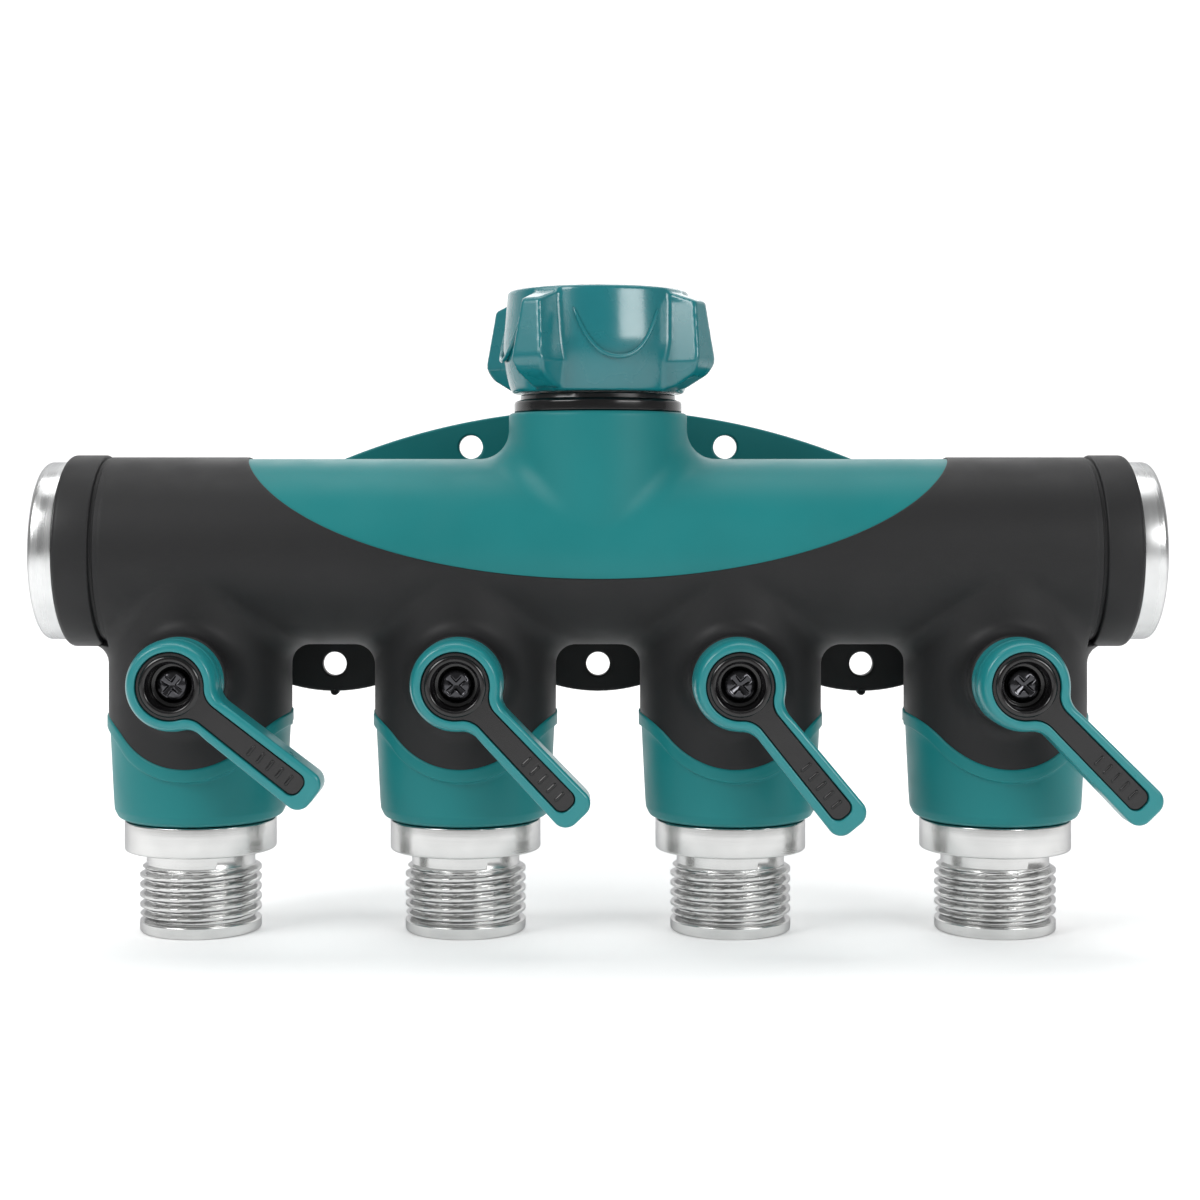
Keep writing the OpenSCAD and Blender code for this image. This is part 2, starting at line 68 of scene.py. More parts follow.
PLUG_LOW, PLUG_HIGH = node_box("end_plug_right")
SKIN_HIGH = node_box("grip_skin")[1]
NUT_LOW, NUT_HIGH = node_box("inlet_nut")
COLLAR_LOW, COLLAR_HIGH = node_box("swivel_collar")
COLLAR_GAP = 0.03

BARREL_Z = (PLUG_LOW[2] + PLUG_HIGH[2]) / 2
PIVOT_Z = PIVOTS[1][2]
END_Z = node_box("outlet_spigot_1")[0][2]
MOUTH_Z = NUT_HIGH[2]
NECK_TOP = COLLAR_LOW[2] - COLLAR_GAP
SKIN_END = SKIN_HIGH[0]
PLUG_END = PLUG_HIGH[0]
WALL_Y = node_box("manifold_body")[1][1]

BARREL_R = 21.0
WINDOW_R = 20.6
NECK_R = 20.0
BRANCH_R = 20.3
BOSS_R = 10.0
BOSS_FRONT = 25.0
SEAM_R = 19.3
SEAM_LEVEL = END_Z + 49.5
WINDOW_A = 81.0
WINDOW_B = 36.0
WINDOW_Z = BARREL_Z + 30.0
BEAD_R = SKIN_HIGH[2] - BARREL_Z
BEAD_LEN = 8.0
GROOVE = 1.0
PLATE_T = 3.0


# ---- Meshes ----

def merged(parts):
    """One (points, faces) from several."""
    points, faces, base = [], [], 0
    for part_points, part_faces in parts:
        points.append(np.asarray(part_points, float))
        faces += [tuple(int(v) + base for v in f) for f in part_faces]
        base += len(part_points)
    return np.concatenate(points), faces


def in_scene(name, data):
    """A new object, linked to the scene."""
    obj = bpy.data.objects.new(name, data)
    bpy.context.scene.collection.objects.link(obj)
    return obj


def smooth_shaded(mesh, material, angle=None):
    """One material and smooth shading; angle, in degrees, keeps sharper edges crisp."""
    mesh.materials.clear()
    mesh.materials.append(material)
    mesh.polygons.foreach_set("use_smooth", [True] * len(mesh.polygons))
    if angle is not None:
        mesh.set_sharp_from_angle(angle=math.radians(angle))


def new_object(name, parts, material_name, angle=None, weighted=False):
    """A mesh object from (points, faces) parts in millimetres; weighted evens flat faces' shading."""
    points, faces = merged(parts)
    mesh = bpy.data.meshes.new(name)
    mesh.from_pydata((points * MM).tolist(), [], faces)
    mesh.validate()
    mesh.update()
    obj = in_scene(name, mesh)
    smooth_shaded(mesh, MATERIALS[material_name], angle)
    if weighted:
        obj.modifiers.new("WeightedNormal", "WEIGHTED_NORMAL")
    return obj


def ring_faces(count, rings, closed=False, flip=False):
    """Quads between neighbouring rings of count points; closed joins the last ring to the first."""
    faces = []
    for a in range(rings if closed else rings - 1):
        b = (a + 1) % rings
        for k in range(count):
            m = (k + 1) % count
            here, beside = (a * count + k, a * count + m)
            above, across = (b * count + k, b * count + m)
            faces.append((here, above, across, beside) if flip else (here, beside, across, above))
    return faces


def lathe(profile, steps, closed=True):
    """A surface of revolution about Z from (radius, height) points, outside on the left of travel."""
    profile = np.asarray(profile, float)
    turn = np.arange(steps) * 2 * math.pi / steps
    rows = len(profile)
    points = np.stack([
        np.outer(profile[:, 0], np.cos(turn)),
        np.outer(profile[:, 0], np.sin(turn)),
        np.repeat(profile[:, 1:2], steps, axis=1),
    ], axis=-1).reshape(-1, 3)
    return points, ring_faces(steps, rows, closed)


def rounded(corners, steps=5):
    """A closed or open profile with each corner (r, z, radius) rounded by an arc."""
    out = []
    count = len(corners)
    for k, (x, y, radius) in enumerate(corners):
        here = np.array([x, y], float)
        if radius <= 0:
            out.append(here)
            continue
        before = np.array(corners[k - 1][:2], float) - here
        after = np.array(corners[(k + 1) % count][:2], float) - here
        before /= np.linalg.norm(before)
        after /= np.linalg.norm(after)
        half = math.acos(max(-1.0, min(1.0, float(before @ after)))) / 2
        if half > math.radians(89):
            out.append(here)
            continue
        centre = here + (before + after) / np.linalg.norm(before + after) * radius / math.sin(half)
        start = here + before * radius / math.tan(half) - centre
        end = here + after * radius / math.tan(half) - centre
        first = math.atan2(start[1], start[0])
        sweep = (math.atan2(end[1], end[0]) - first + math.pi) % (2 * math.pi) - math.pi
        for s in range(steps + 1):
            angle = first + sweep * s / steps
            out.append(centre + radius * np.array([math.cos(angle), math.sin(angle)]))
    return np.array(out)


def turned(points, matrix, shift):
    return np.asarray(points) @ np.asarray(matrix, float).T + np.asarray(shift, float)


# Stands an upright part's axis to the front.
FORWARD = [[1, 0, 0], [0, 0, -1], [0, 1, 0]]


def along_barrel(points, side, x=0.0):
    """Lays a lathe part's axis along the barrel: it starts at x and points to side, 1 or -1."""
    return turned(points, [[0, 0, side], [0, 1, 0], [-side, 0, 0]], (x, 0, BARREL_Z))


# ---- Signed distance shapes ----

def smooth_union(a, b, radius):
    """Union whose inside corner is a fillet of that radius."""
    inner = np.hypot(np.maximum(radius - a, 0), np.maximum(radius - b, 0))
    return np.maximum(radius, np.minimum(a, b)) - inner


def smooth_cut(a, b, radius):
    """Intersection whose outside corner is rounded to that radius."""
    return -smooth_union(-a, -b, radius)


def ellipse_distance(x, z):
    """Distance outside the window's outline in the front view, near the outline."""
    u = x / WINDOW_A
    w = (z - WINDOW_Z) / WINDOW_B
    q = np.sqrt(u * u + w * w) + 1e-9
    slope = np.hypot(u / WINDOW_A, w / WINDOW_B) / q
    return (q - 1) / slope


def crossing(x, y, z):
    """1 where a vertical pipe's wall stands square to the barrel's, 0 where the two run together."""
    barrel = np.hypot(y, z - BARREL_Z) + 1e-6
    pipe = np.hypot(x, y) + 1e-6
    return np.clip(1 - y * y / (barrel * pipe), 0.02, 1)


def skin_field(p):
    """The barrel with four branches down and a boss in front of each."""
    x, y, z = np.moveaxis(p, -1, 0)
    field = np.hypot(y, z - BARREL_Z) - BARREL_R
    for i in OUTLETS:
        across = x - PIVOTS[i][0]
        branch = np.hypot(across, y) - BRANCH_R
        branch = np.maximum(branch, z - BARREL_Z)
        field = smooth_union(field, branch, 4.5 * crossing(across, y, z))
    for i in OUTLETS:
        boss = np.hypot(x - PIVOTS[i][0], z - PIVOT_Z) - BOSS_R
        boss = smooth_cut(boss, -y - BOSS_FRONT, 1.2)
        boss = np.maximum(boss, y)
        field = smooth_union(field, boss, 3.5)
    return field


def body_field(p):
    """The teal barrel and the neck on top of it."""
    x, y, z = np.moveaxis(p, -1, 0)
    barrel = np.hypot(y, z - BARREL_Z) - WINDOW_R
    neck = np.maximum(np.hypot(x, y) - NECK_R, BARREL_Z - z)
    return smooth_union(barrel, neck, 6.5 * crossing(x, y, z))


def gradient(field, p):
    step = 0.02
    g = np.empty_like(p)
    for axis in range(3):
        move = np.zeros(3)
        move[axis] = step
        g[..., axis] = (field(p + move) - field(p - move)) / (2 * step)
    return g


def settle(field, p, rounds=4):
    """Moves points onto the field's zero surface."""
    for _ in range(rounds):
        g = gradient(field, p)
        size = np.maximum((g * g).sum(-1, keepdims=True), 1e-6)
        p = p - np.clip(field(p)[..., None] * g / size, -0.6, 0.6)
    return p


CORNERS = np.array([[i, j, k] for i in (0, 1) for j in (0, 1) for k in (0, 1)])
CELL_EDGES = [(a, b) for a in range(8) for b in range(a + 1, 8)
              if np.abs(CORNERS[a] - CORNERS[b]).sum() == 1]


def surface_net(field, low, high, step):
    """Quads near the field's zero surface inside a box, one point to a grid cell."""
    low = np.asarray(low, float)
    shape = np.ceil((np.asarray(high, float) - low) / step).astype(int) + 1
    axes = [low[a] + step * np.arange(shape[a]) for a in range(3)]
    values = np.empty(shape, np.float32)
    for row, x in enumerate(axes[0]):
        y, z = np.meshgrid(axes[1], axes[2], indexing="ij")
        values[row] = field(np.stack([np.full_like(y, x), y, z], axis=-1))
    inside = values < 0
    total = np.zeros(shape - 1, np.int8)
    for c in CORNERS:
        total += inside[c[0]:c[0] + shape[0] - 1, c[1]:c[1] + shape[1] - 1, c[2]:c[2] + shape[2] - 1]
    cells = np.argwhere((total > 0) & (total < 8))
    number = np.full(shape - 1, -1, np.int64)
    number[tuple(cells.T)] = np.arange(len(cells))
    corner = np.stack([values[tuple((cells + c).T)] for c in CORNERS], axis=1)
    place = np.zeros((len(cells), 3))
    hits = np.zeros(len(cells))
    for a, b in CELL_EDGES:
        crossed = (corner[:, a] < 0) != (corner[:, b] < 0)
        gap = np.where(crossed, corner[:, a] - corner[:, b], 1)
        share = (corner[:, a] / gap)[:, None]
        place += np.where(crossed[:, None], CORNERS[a] + share * (CORNERS[b] - CORNERS[a]), 0)
        hits += crossed
    points = low + step * (cells + place / hits[:, None])
    faces = []
    for axis in range(3):
        side, up = [a for a in range(3) if a != axis]
        here = [slice(None)] * 3
        there = [slice(None)] * 3
        here[axis] = slice(0, -1)
        there[axis] = slice(1, None)
        first, second = inside[tuple(here)], inside[tuple(there)]
        spots = np.argwhere(first != second)
        keep = (spots[:, side] > 0) & (spots[:, up] > 0)
        keep &= (spots[:, side] < shape[side] - 1) & (spots[:, up] < shape[up] - 1)
        spots = spots[keep]
        ring = []
        for ds, du in ((-1, -1), (0, -1), (0, 0), (-1, 0)):
            cell = spots.copy()
            cell[:, side] += ds
            cell[:, up] += du
            ring.append(number[tuple(cell.T)])
        quads = np.stack(ring, axis=1)
        outward = first[tuple(spots.T)]
        if axis == 1:
            outward = ~outward
        quads[~outward] = quads[~outward][:, ::-1]
        faces.append(quads)
    return points, np.concatenate(faces)


def relax(field, points, faces, rounds=3):
    """Evens out the quads by moving each point towards its neighbours, then back onto the surface."""
    edges = np.concatenate([faces[:, [a, (a + 1) % 4]] for a in range(4)])
    for _ in range(rounds):
        total = np.zeros_like(points)
        count = np.zeros(len(points))
        np.add.at(total, edges[:, 0], points[edges[:, 1]])
        np.add.at(count, edges[:, 0], 1)
        mean = total / np.maximum(count, 1)[:, None]
        points = settle(field, points + 0.5 * (mean - points), 1)
    return settle(field, points, 2)


def trimmed(field, keep, points, faces, step, rim=0.0, depth=0.0):
    """Cuts a quad surface where keep is negative, and rolls the new edge over and inwards."""
    def on_both(p):
        for _ in range(5):
            for each in (keep, field):
                g = gradient(each, p)
                p = p - each(p)[:, None] * g / np.maximum((g * g).sum(-1, keepdims=True), 1e-6)
        return p

    value = keep(points)
    near = np.abs(value) < 0.3 * step
    points = points.copy()
    points[near] = on_both(points[near])
    value[near] = 0.0
    sign = np.sign(value)
    whole = (sign[faces] >= 0).all(axis=1) & (sign[faces] > 0).any(axis=1)
    mixed = (sign[faces] > 0).any(axis=1) & (sign[faces] < 0).any(axis=1)
    kept = [tuple(f) for f in faces[whole]]
    extra, made = [], {}
    for face in faces[mixed]:
        shape = []
        for a, b in zip(face, np.roll(face, -1)):
            if sign[a] >= 0:
                shape.append(int(a))
            if sign[a] * sign[b] < 0:
                key = (min(a, b), max(a, b))
                if key not in made:
                    share = value[a] / (value[a] - value[b])
                    made[key] = len(points) + len(extra)
                    extra.append(points[a] + share * (points[b] - points[a]))
                shape.append(made[key])
        if len(shape) > 2:
            kept.append(tuple(shape))
    if extra:
        points = np.concatenate([points, on_both(np.array(extra))])
    if rim > 0:
        points, kept = rolled(field, keep, points, kept, rim, depth)
    used = np.zeros(len(points), bool)
    for f in kept:
        used[list(f)] = True
    index = np.cumsum(used) - 1
    return points[used], [tuple(index[list(f)]) for f in kept]


def rolled(field, keep, points, faces, rim, depth):
    """Adds a quarter-round edge and a short inward wall along the cut."""
    walked = {(a, b): True for f in faces for a, b in zip(f, f[1:] + f[:1])}
    edges = [(a, b) for a, b in walked if (b, a) not in walked]
    loop = sorted({v for e in edges for v in e})
    on_cut = np.abs(keep(points[loop])) < 0.02
    chosen = {v for v, flag in zip(loop, on_cut) if flag}
    edges = [(a, b) for a, b in edges if a in chosen and b in chosen]
    order = sorted({v for e in edges for v in e})
    base = points[order]
    normal = gradient(field, base)
    normal /= np.linalg.norm(normal, axis=1, keepdims=True)
    away = -gradient(keep, base)
    away -= (away * normal).sum(1, keepdims=True) * normal
    away /= np.maximum(np.linalg.norm(away, axis=1, keepdims=True), 1e-9)
    rings = []
    for turn in (30, 60, 90):
        angle = math.radians(turn)
        rings.append(base + away * rim * math.sin(angle) - normal * rim * (1 - math.cos(angle)))
    rings.append(rings[-1] - normal * depth)
    start = len(points)
    points = np.concatenate([points] + rings)
    faces = list(faces)
    inner = {v: v for v in order}
    for level in range(len(rings)):
        outer = {v: start + level * len(order) + k for k, v in enumerate(order)}
        faces += [(inner[b], inner[a], outer[a], outer[b]) for a, b in edges]
        inner = outer
    return points, faces


# ---- Surfaces and solids used by several pieces ----

def outline_fill(loops, thickness, bevel):
    """A flat plate with rounded rims: loops are the outline and its holes, as (u, v) points.

    The thickness runs both ways from 0.
    """
    curve = bpy.data.curves.new("outline", "CURVE")
    curve.dimensions = "2D"
    curve.fill_mode = "BOTH"
    curve.extrude = (thickness / 2 - bevel) * MM
    curve.bevel_depth = bevel * MM
    curve.bevel_resolution = 3
    curve.offset = -bevel * MM
    for loop in loops:
        spline = curve.splines.new("POLY")
        spline.points.add(len(loop) - 1)
        for point, (u, v) in zip(spline.points, loop):
            point.co = (u * MM, v * MM, 0, 1)
        spline.use_cyclic_u = True
    temporary = in_scene("outline", curve)
    bpy.context.view_layer.update()
    shape = temporary.evaluated_get(bpy.context.evaluated_depsgraph_get())
    mesh = bpy.data.meshes.new_from_object(shape)
    bpy.data.objects.remove(temporary)
    bpy.data.curves.remove(curve)
    points = np.array([v.co for v in mesh.vertices])
    faces = [tuple(p.vertices) for p in mesh.polygons]
    bpy.data.meshes.remove(mesh)
    return points / MM, faces


def plate_piece(loops):
    """A part of the wall plate: loops are (x, z) outlines, the first of them the outside."""
    points, faces = outline_fill(loops, PLATE_T, 0.5)
    return np.stack([points[:, 0], WALL_Y - PLATE_T / 2 - points[:, 2], points[:, 1]], axis=1), faces


def arc(cx, cy, radius, start, end, steps):
    """Points on an arc, angles in degrees, both ends included."""
    turn = np.radians(np.linspace(start, end, steps + 1))
    return [(cx + radius * math.cos(a), cy + radius * math.sin(a)) for a in turn]


def tube_along(path, radius, sides, up=(0.0, 0.0, 1.0)):
    """A closed round bead along a path whose ends taper off. up is any direction the path never takes."""
    path = np.asarray(path, float)
    count = len(path)
    along = np.gradient(path, axis=0)
    along /= np.linalg.norm(along, axis=1, keepdims=True)
    side = np.cross(along, np.array(up))
    side /= np.linalg.norm(side, axis=1, keepdims=True)
    other = np.cross(side, along)
    turn = np.arange(sides) * 2 * math.pi / sides
    points = []
    for k in range(count):
        share = k / (count - 1)
        size = radius * min(1.0, math.sqrt(max(0.0, 1 - (2 * share - 1) ** 12)) + 0.02)
        ring = np.outer(np.cos(turn), side[k]) + np.outer(np.sin(turn), other[k])
        points.append(path[k] + size * ring)
    faces = ring_faces(sides, count)
    faces.append(tuple(range(sides))[::-1])
    faces.append(tuple((count - 1) * sides + s for s in range(sides)))
    return np.concatenate(points), faces


# ---- Materials ----

def srgb(r, g, b):
    """A linear colour from the 0-255 values it shows on a screen."""
    def linear(v):
        v /= 255
        return v / 12.92 if v <= 0.04045 else ((v + 0.055) / 1.055) ** 2.4
    return (linear(r), linear(g), linear(b), 1.0)


NOISE_SPAN = (0.3, 0.7)
METAL_EDGE = (0.5, 0.5, 0.51, 1.0)
METAL_STAIN = 0.08


def set_inputs(node, values):
    """Sets a node's unlinked inputs, given by name."""
    for socket, value in values.items():
        node.inputs[socket].default_value = value


class Finish:
    """A material's nodes, built one layer at a time on the Principled shader."""

    def __init__(self, name, colour, roughness, metallic=0.0, specular=0.5, coat=0.0,
                 coat_roughness=0.08):
        self.material = bpy.data.materials.new(name)
        self.material.use_nodes = True
        self.material.diffuse_color = colour
        self.tree = self.material.node_tree
        self.shader = self.tree.nodes["Principled BSDF"]
        set_inputs(self.shader, {
            "Base Color": colour, "Roughness": roughness, "Metallic": metallic,
            "Specular IOR Level": specular, "Coat Weight": coat, "Coat Roughness": coat_roughness
        })
        self.place = self.tree.nodes.new("ShaderNodeTexCoord")
        self.normal = None

    def add(self, kind):
        return self.tree.nodes.new(kind)

    def link(self, start, end):
        self.tree.links.new(start, end)

    def noise(self, size, detail, stretch=(1, 1, 1)):
        """Noise whose grains are about size millimetres across."""
        mapping = self.add("ShaderNodeMapping")
        set_inputs(mapping, {"Scale": stretch})
        texture = self.add("ShaderNodeTexNoise")
        set_inputs(texture, {"Scale": 1 / (size * MM), "Detail": detail})
        self.link(self.place.outputs["Object"], mapping.inputs["Vector"])
        self.link(mapping.outputs["Vector"], texture.inputs["Vector"])
        return texture.outputs["Fac"]

    def tint(self, value, first, second):
        """The base colour runs from first to second over the middle of value's range."""
        ramp = self.add("ShaderNodeValToRGB")
        for stop, position, colour in zip(ramp.color_ramp.elements, NOISE_SPAN, (first, second)):
            stop.position = position
            stop.color = colour
        self.link(value, ramp.inputs["Fac"])
        self.link(ramp.outputs["Color"], self.shader.inputs["Base Color"])

    def gloss(self, value, low, high):
        """The roughness runs from low to high over the middle of value's range."""
        node = self.add("ShaderNodeMapRange")
        set_inputs(node, {
            "From Min": NOISE_SPAN[0], "From Max": NOISE_SPAN[1], "To Min": low, "To Max": high
        })
        self.link(value, node.inputs["Value"])
        self.link(node.outputs["Result"], self.shader.inputs["Roughness"])

    def bump(self, value, depth):
        """Relief, depth in millimetres, on top of what is there."""
        node = self.add("ShaderNodeBump")
        set_inputs(node, {"Strength": 1.0, "Distance": depth * MM})
        self.link(value, node.inputs["Height"])
        if self.normal is not None:
            self.link(self.normal, node.inputs["Normal"])
        self.normal = node.outputs["Normal"]
        self.link(self.normal, self.shader.inputs["Normal"])


def shade(colour, factor):
    return tuple(min(1.0, c * factor) for c in colour[:3]) + (1.0,)


def moulded(name, colour, roughness, grain=0.45, depth=0.012, spread=0.06, coat=0.0, specular=0.5,
            coat_roughness=0.08):
    """Moulded plastic or rubber: a fine texture, slow colour drift and patchy gloss."""
    finish = Finish(name, colour, roughness, 0.0, specular, coat, coat_roughness)
    drift = finish.noise(28, 3)
    finish.tint(drift, shade(colour, 1 - spread), shade(colour, 1 + spread))
    finish.gloss(finish.noise(9, 4), roughness - 0.04, roughness + 0.05)
    finish.bump(finish.noise(grain, 2), depth)
    finish.bump(finish.noise(16, 1), depth * 3)
    return finish.material


def turned_metal(name, colour, roughness, along, depth=0.004):
    """Lathe-turned metal: fine rings across the turning axis (0 X, 1 Y, 2 Z), and a darker look edge on."""
    finish = Finish(name, colour, roughness, metallic=1.0)
    set_inputs(finish.shader, {"Specular Tint": METAL_EDGE})
    stretch = [0.02, 0.02, 0.02]
    stretch[along] = 1
    lines = finish.noise(0.22, 2, stretch)
    finish.tint(finish.noise(7, 4), shade(colour, 1 - METAL_STAIN), shade(colour, 1 + METAL_STAIN / 3))
    finish.gloss(finish.noise(1.6, 4, stretch), roughness - 0.05, roughness + 0.07)
    finish.bump(lines, depth)
    finish.bump(finish.noise(0.6, 3), depth * 0.4)
    return finish.material


def stage_paper():
    """Matt white paper that glows a little, so that it stays pale away from the lamps."""
    paper = Finish("paper", (0.94, 0.94, 0.94, 1), 0.9, specular=0.1)
    set_inputs(paper.shader, {"Emission Color": (1, 1, 1, 1), "Emission Strength": 0.19})
    return paper.material


TEAL = srgb(26, 120, 122)
LEVER_TEAL = srgb(28, 128, 132)
NUT_TEAL = srgb(12, 110, 117)

MATERIALS = {
    "teal_plastic": moulded("teal_plastic", TEAL, 0.42, grain=0.5, depth=0.010, spread=0.05, specular=0.24),
    "teal_lever": moulded("teal_lever", LEVER_TEAL, 0.30, grain=0.4, depth=0.006, spread=0.05, coat=0.1),
    "teal_nut": moulded("teal_nut", NUT_TEAL, 0.26, grain=0.7, depth=0.003, spread=0.05, coat=0.6,
                        coat_roughness=0.17),
    "black_rubber": moulded("black_rubber", srgb(30, 30, 31), 0.54, grain=0.35, depth=0.016, spread=0.07,
                            specular=0.32),
    "black_plastic": moulded("black_plastic", srgb(13, 12, 13), 0.2, grain=0.4, depth=0.005, spread=0.08,
                             specular=0.45, coat=0.25),
    "seal_rubber": moulded("seal_rubber", srgb(24, 24, 25), 0.48, grain=0.3, depth=0.010, spread=0.10),
    "seat_ptfe": moulded("seat_ptfe", srgb(232, 232, 226), 0.42, grain=0.5, depth=0.006, spread=0.03),
    "aluminium": turned_metal("aluminium", srgb(216, 216, 215), 0.22, 2),
    "aluminium_plug": turned_metal("aluminium_plug", srgb(220, 221, 221), 0.27, 0),
    "ball_steel": turned_metal("ball_steel", srgb(196, 198, 202), 0.14, 1, depth=0.001),
    "screw_steel": turned_metal("screw_steel", srgb(74, 74, 77), 0.16, 1, depth=0.002),
    "stem_brass": turned_metal("stem_brass", srgb(206, 170, 104), 0.27, 1),
    "paper": stage_paper(),
}


def place_piece(obj, body, slot_name, *nodes):
    """Puts a finished piece on its body and hides the CAD nodes it stands for."""
    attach(obj, body)
    if nodes:
        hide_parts(*nodes)


def copies(obj, name, slot_name, node, at_levers=False):
    """Copies a part, all sharing one mesh, to the four outlets' ends.

    With at_levers they go to the four valves instead, each turned to its own angle.
    """
    for i in OUTLETS:
        twin = in_scene(f"{name}_{i}", obj.data)
        for modifier in obj.modifiers:
            twin.modifiers.new(modifier.name, modifier.type)
        if at_levers:
            twin.location = [c * MM for c in PIVOTS[i]]
            twin.rotation_euler[1] = math.radians(LEVER_DROP[i])
        else:
            twin.location = (PIVOTS[i][0] * MM, 0, END_Z * MM)
        place_piece(twin, f"valve_{i}" if at_levers else "manifold", slot_name, f"{node}_{i}")
    bpy.data.objects.remove(obj)


# ---- Body ----

SHELL_END = 104.0
CORE_END = 117.4
NECK_BORE_R = 10.2
BRANCH_CORE_R = 17.5
BRANCH_CORE_FOOT = END_Z + 27.5
CAVITY_R = 12.9
BARREL_BORE_R = 14.0
PASSAGE_R = 8.5
BORE_STEP = 11
RIM = 0.8
HOLE_R = 2.8
UPPER_HOLES = [(-30.2, MOUTH_Z - 34.1), (30.2, MOUTH_Z - 34.1)]
WEB_PITCH = 62.6
LOWER_HOLES = [(x, MOUTH_Z - 85.6) for x in (-WEB_PITCH, 0.0, WEB_PITCH)]
PLATE_TOP = MOUTH_Z - 25.1
PLATE_ARCH_R = 159.4
PLATE_HALF_W = 89.0
PLATE_SPLIT = BARREL_Z - 12.0
WEB_LOW = MOUTH_Z - 92.1
WEB_R = 36.5
RIB_T = 3.0
RIB_FRONT = 15.3
RIB_PITCH = 26.0
RIB_LOW = 12.0
RIB_HIGH = 11.0
RIB_SKIN = 1.2
RIB_COAT_TOP = -3.2


def hole_loop(x, z, radius=HOLE_R):
    """A round hole's outline, without the end point that would repeat its start."""
    return arc(x, z, radius, 0, 352.5, 47)


def fitted_to_bore(points, side):
    """Moves a passage's end, BORE_STEP above (side 1) or below (-1) the axis, exactly onto the bore."""
    level = np.isclose(points[:, 2], BARREL_Z + BORE_STEP * side)
    points[level, 2] = BARREL_Z + side * np.sqrt(BARREL_BORE_R ** 2 - points[level, 1] ** 2)
    return points


def bore_field(p):
    """Below zero in the barrel's wall, so that the surface faces the water."""
    return BARREL_BORE_R - np.hypot(p[..., 1], p[..., 2] - BARREL_Z)


def off_branches(x, y, radius):
    """Distance outside the nearest of four upright cylinders round the branches' axes."""
    return np.min([np.hypot(x - PIVOTS[i][0], y) for i in OUTLETS], axis=0) - radius


def bore_liner():
    """The barrel's bore, open where the neck and the branches meet it."""
    places = np.linspace(-CORE_END, CORE_END, 236)
    points, faces = lathe([(BARREL_BORE_R, x) for x in places], 88, closed=False)
    points = along_barrel(points, 1)

    def keep(p):
        x, y, z = np.moveaxis(p, -1, 0)
        lower = np.where(z < BARREL_Z, off_branches(x, y, PASSAGE_R), FAR)
        return np.where(z > BARREL_Z, np.hypot(x, y) - PASSAGE_R, lower)

    return trimmed(bore_field, keep, points, np.array(faces), 1.0)


def build_body():
    """Teal moulding: barrel and neck with a flare between them, branch cores and water ways."""
    low = (-119, -22, BARREL_Z - 22)
    high = (119, 22, NECK_TOP + 2)
    points, faces = surface_net(body_field, low, high, 1.0)
    points = relax(body_field, points, faces)

    def keep(p):
        return np.minimum(NECK_TOP - RIM - p[..., 2], SHELL_END - np.abs(p[..., 0]))

    shell = trimmed(body_field, keep, points, faces, 1.0, rim=RIM, depth=19.2 - NECK_BORE_R)
    x, y, z = shell[0].T
    clear = (z >= BARREL_Z) | (off_branches(x, y, BRANCH_CORE_R) + 0.1 >= 0)
    parts = [(shell[0], [f for f in shell[1] if clear[list(f)].any()])]
    neck_floor = MOUTH_Z - 42.2
    neck = lathe([(NECK_BORE_R, NECK_TOP), (NECK_BORE_R, neck_floor), (PASSAGE_R, neck_floor),
                  (PASSAGE_R, BARREL_Z + BORE_STEP)], 96, closed=False)
    parts.append((fitted_to_bore(neck[0], 1), neck[1]))
    parts.append(bore_liner())
    for i in OUTLETS:
        core, core_faces = lathe([
            (CAVITY_R, BRANCH_CORE_FOOT), (BRANCH_CORE_R - 0.4, BRANCH_CORE_FOOT),
            (BRANCH_CORE_R, BRANCH_CORE_FOOT + 0.4), (BRANCH_CORE_R, BARREL_Z - 14.6),
            (PASSAGE_R, BARREL_Z - BORE_STEP), (PASSAGE_R, PIVOT_Z + 11.5), (CAVITY_R, PIVOT_Z + 11.5)
        ], 96)
        parts.append((fitted_to_bore(core, -1) + [PIVOTS[i][0], 0, 0], core_faces))
    body = new_object("body", parts, "teal_plastic", 40)
    place_piece(body, "manifold", "teal_plastic", "manifold_body")


def build_plate():
    """Upper, teal part of the wall plate: an arch with two screw holes."""
    centre_z = PLATE_TOP - PLATE_ARCH_R
    half = math.degrees(math.asin(PLATE_HALF_W / PLATE_ARCH_R))
    outline = arc(0, centre_z, PLATE_ARCH_R, 90 - half, 90 + half, 96)
    outline += [(-PLATE_HALF_W, PLATE_SPLIT + 0.1), (PLATE_HALF_W, PLATE_SPLIT + 0.1)]
    loops = [outline] + [hole_loop(*place) for place in UPPER_HOLES]
    plate = new_object("wall_plate", [plate_piece(loops)], "teal_plastic", 50, weighted=True)
    place_piece(plate, "manifold", "teal_plastic")


def rib_outline(low, high, foot):
    """A rib seen from the side, as (y, z) from the barrel's axis; a foot flares where it meets
    the plate."""
    front = WALL_Y - PLATE_T + 0.1
    loop = [(RIB_FRONT, low)]
    if foot:
        loop += [(front - 2.0, low), (front - 0.6, low - 0.6), (front, low - 2.0)]
    else:
        loop += [(front, low)]
    return loop + [(front, high), (RIB_FRONT, high)]


def rib_set(name, loop, thickness, slot_name):
    """Seven ribs between the barrel and the plate."""
    points, faces = outline_fill([loop], thickness, 0.4)
    stood = np.stack([points[:, 2], points[:, 0], points[:, 1] + BARREL_Z], axis=1)
    parts = [(stood + [k * RIB_PITCH, 0, 0], faces) for k in range(-3, 4)]
    ribs = new_object(name, parts, slot_name, 50, weighted=True)
    place_piece(ribs, "manifold", slot_name)


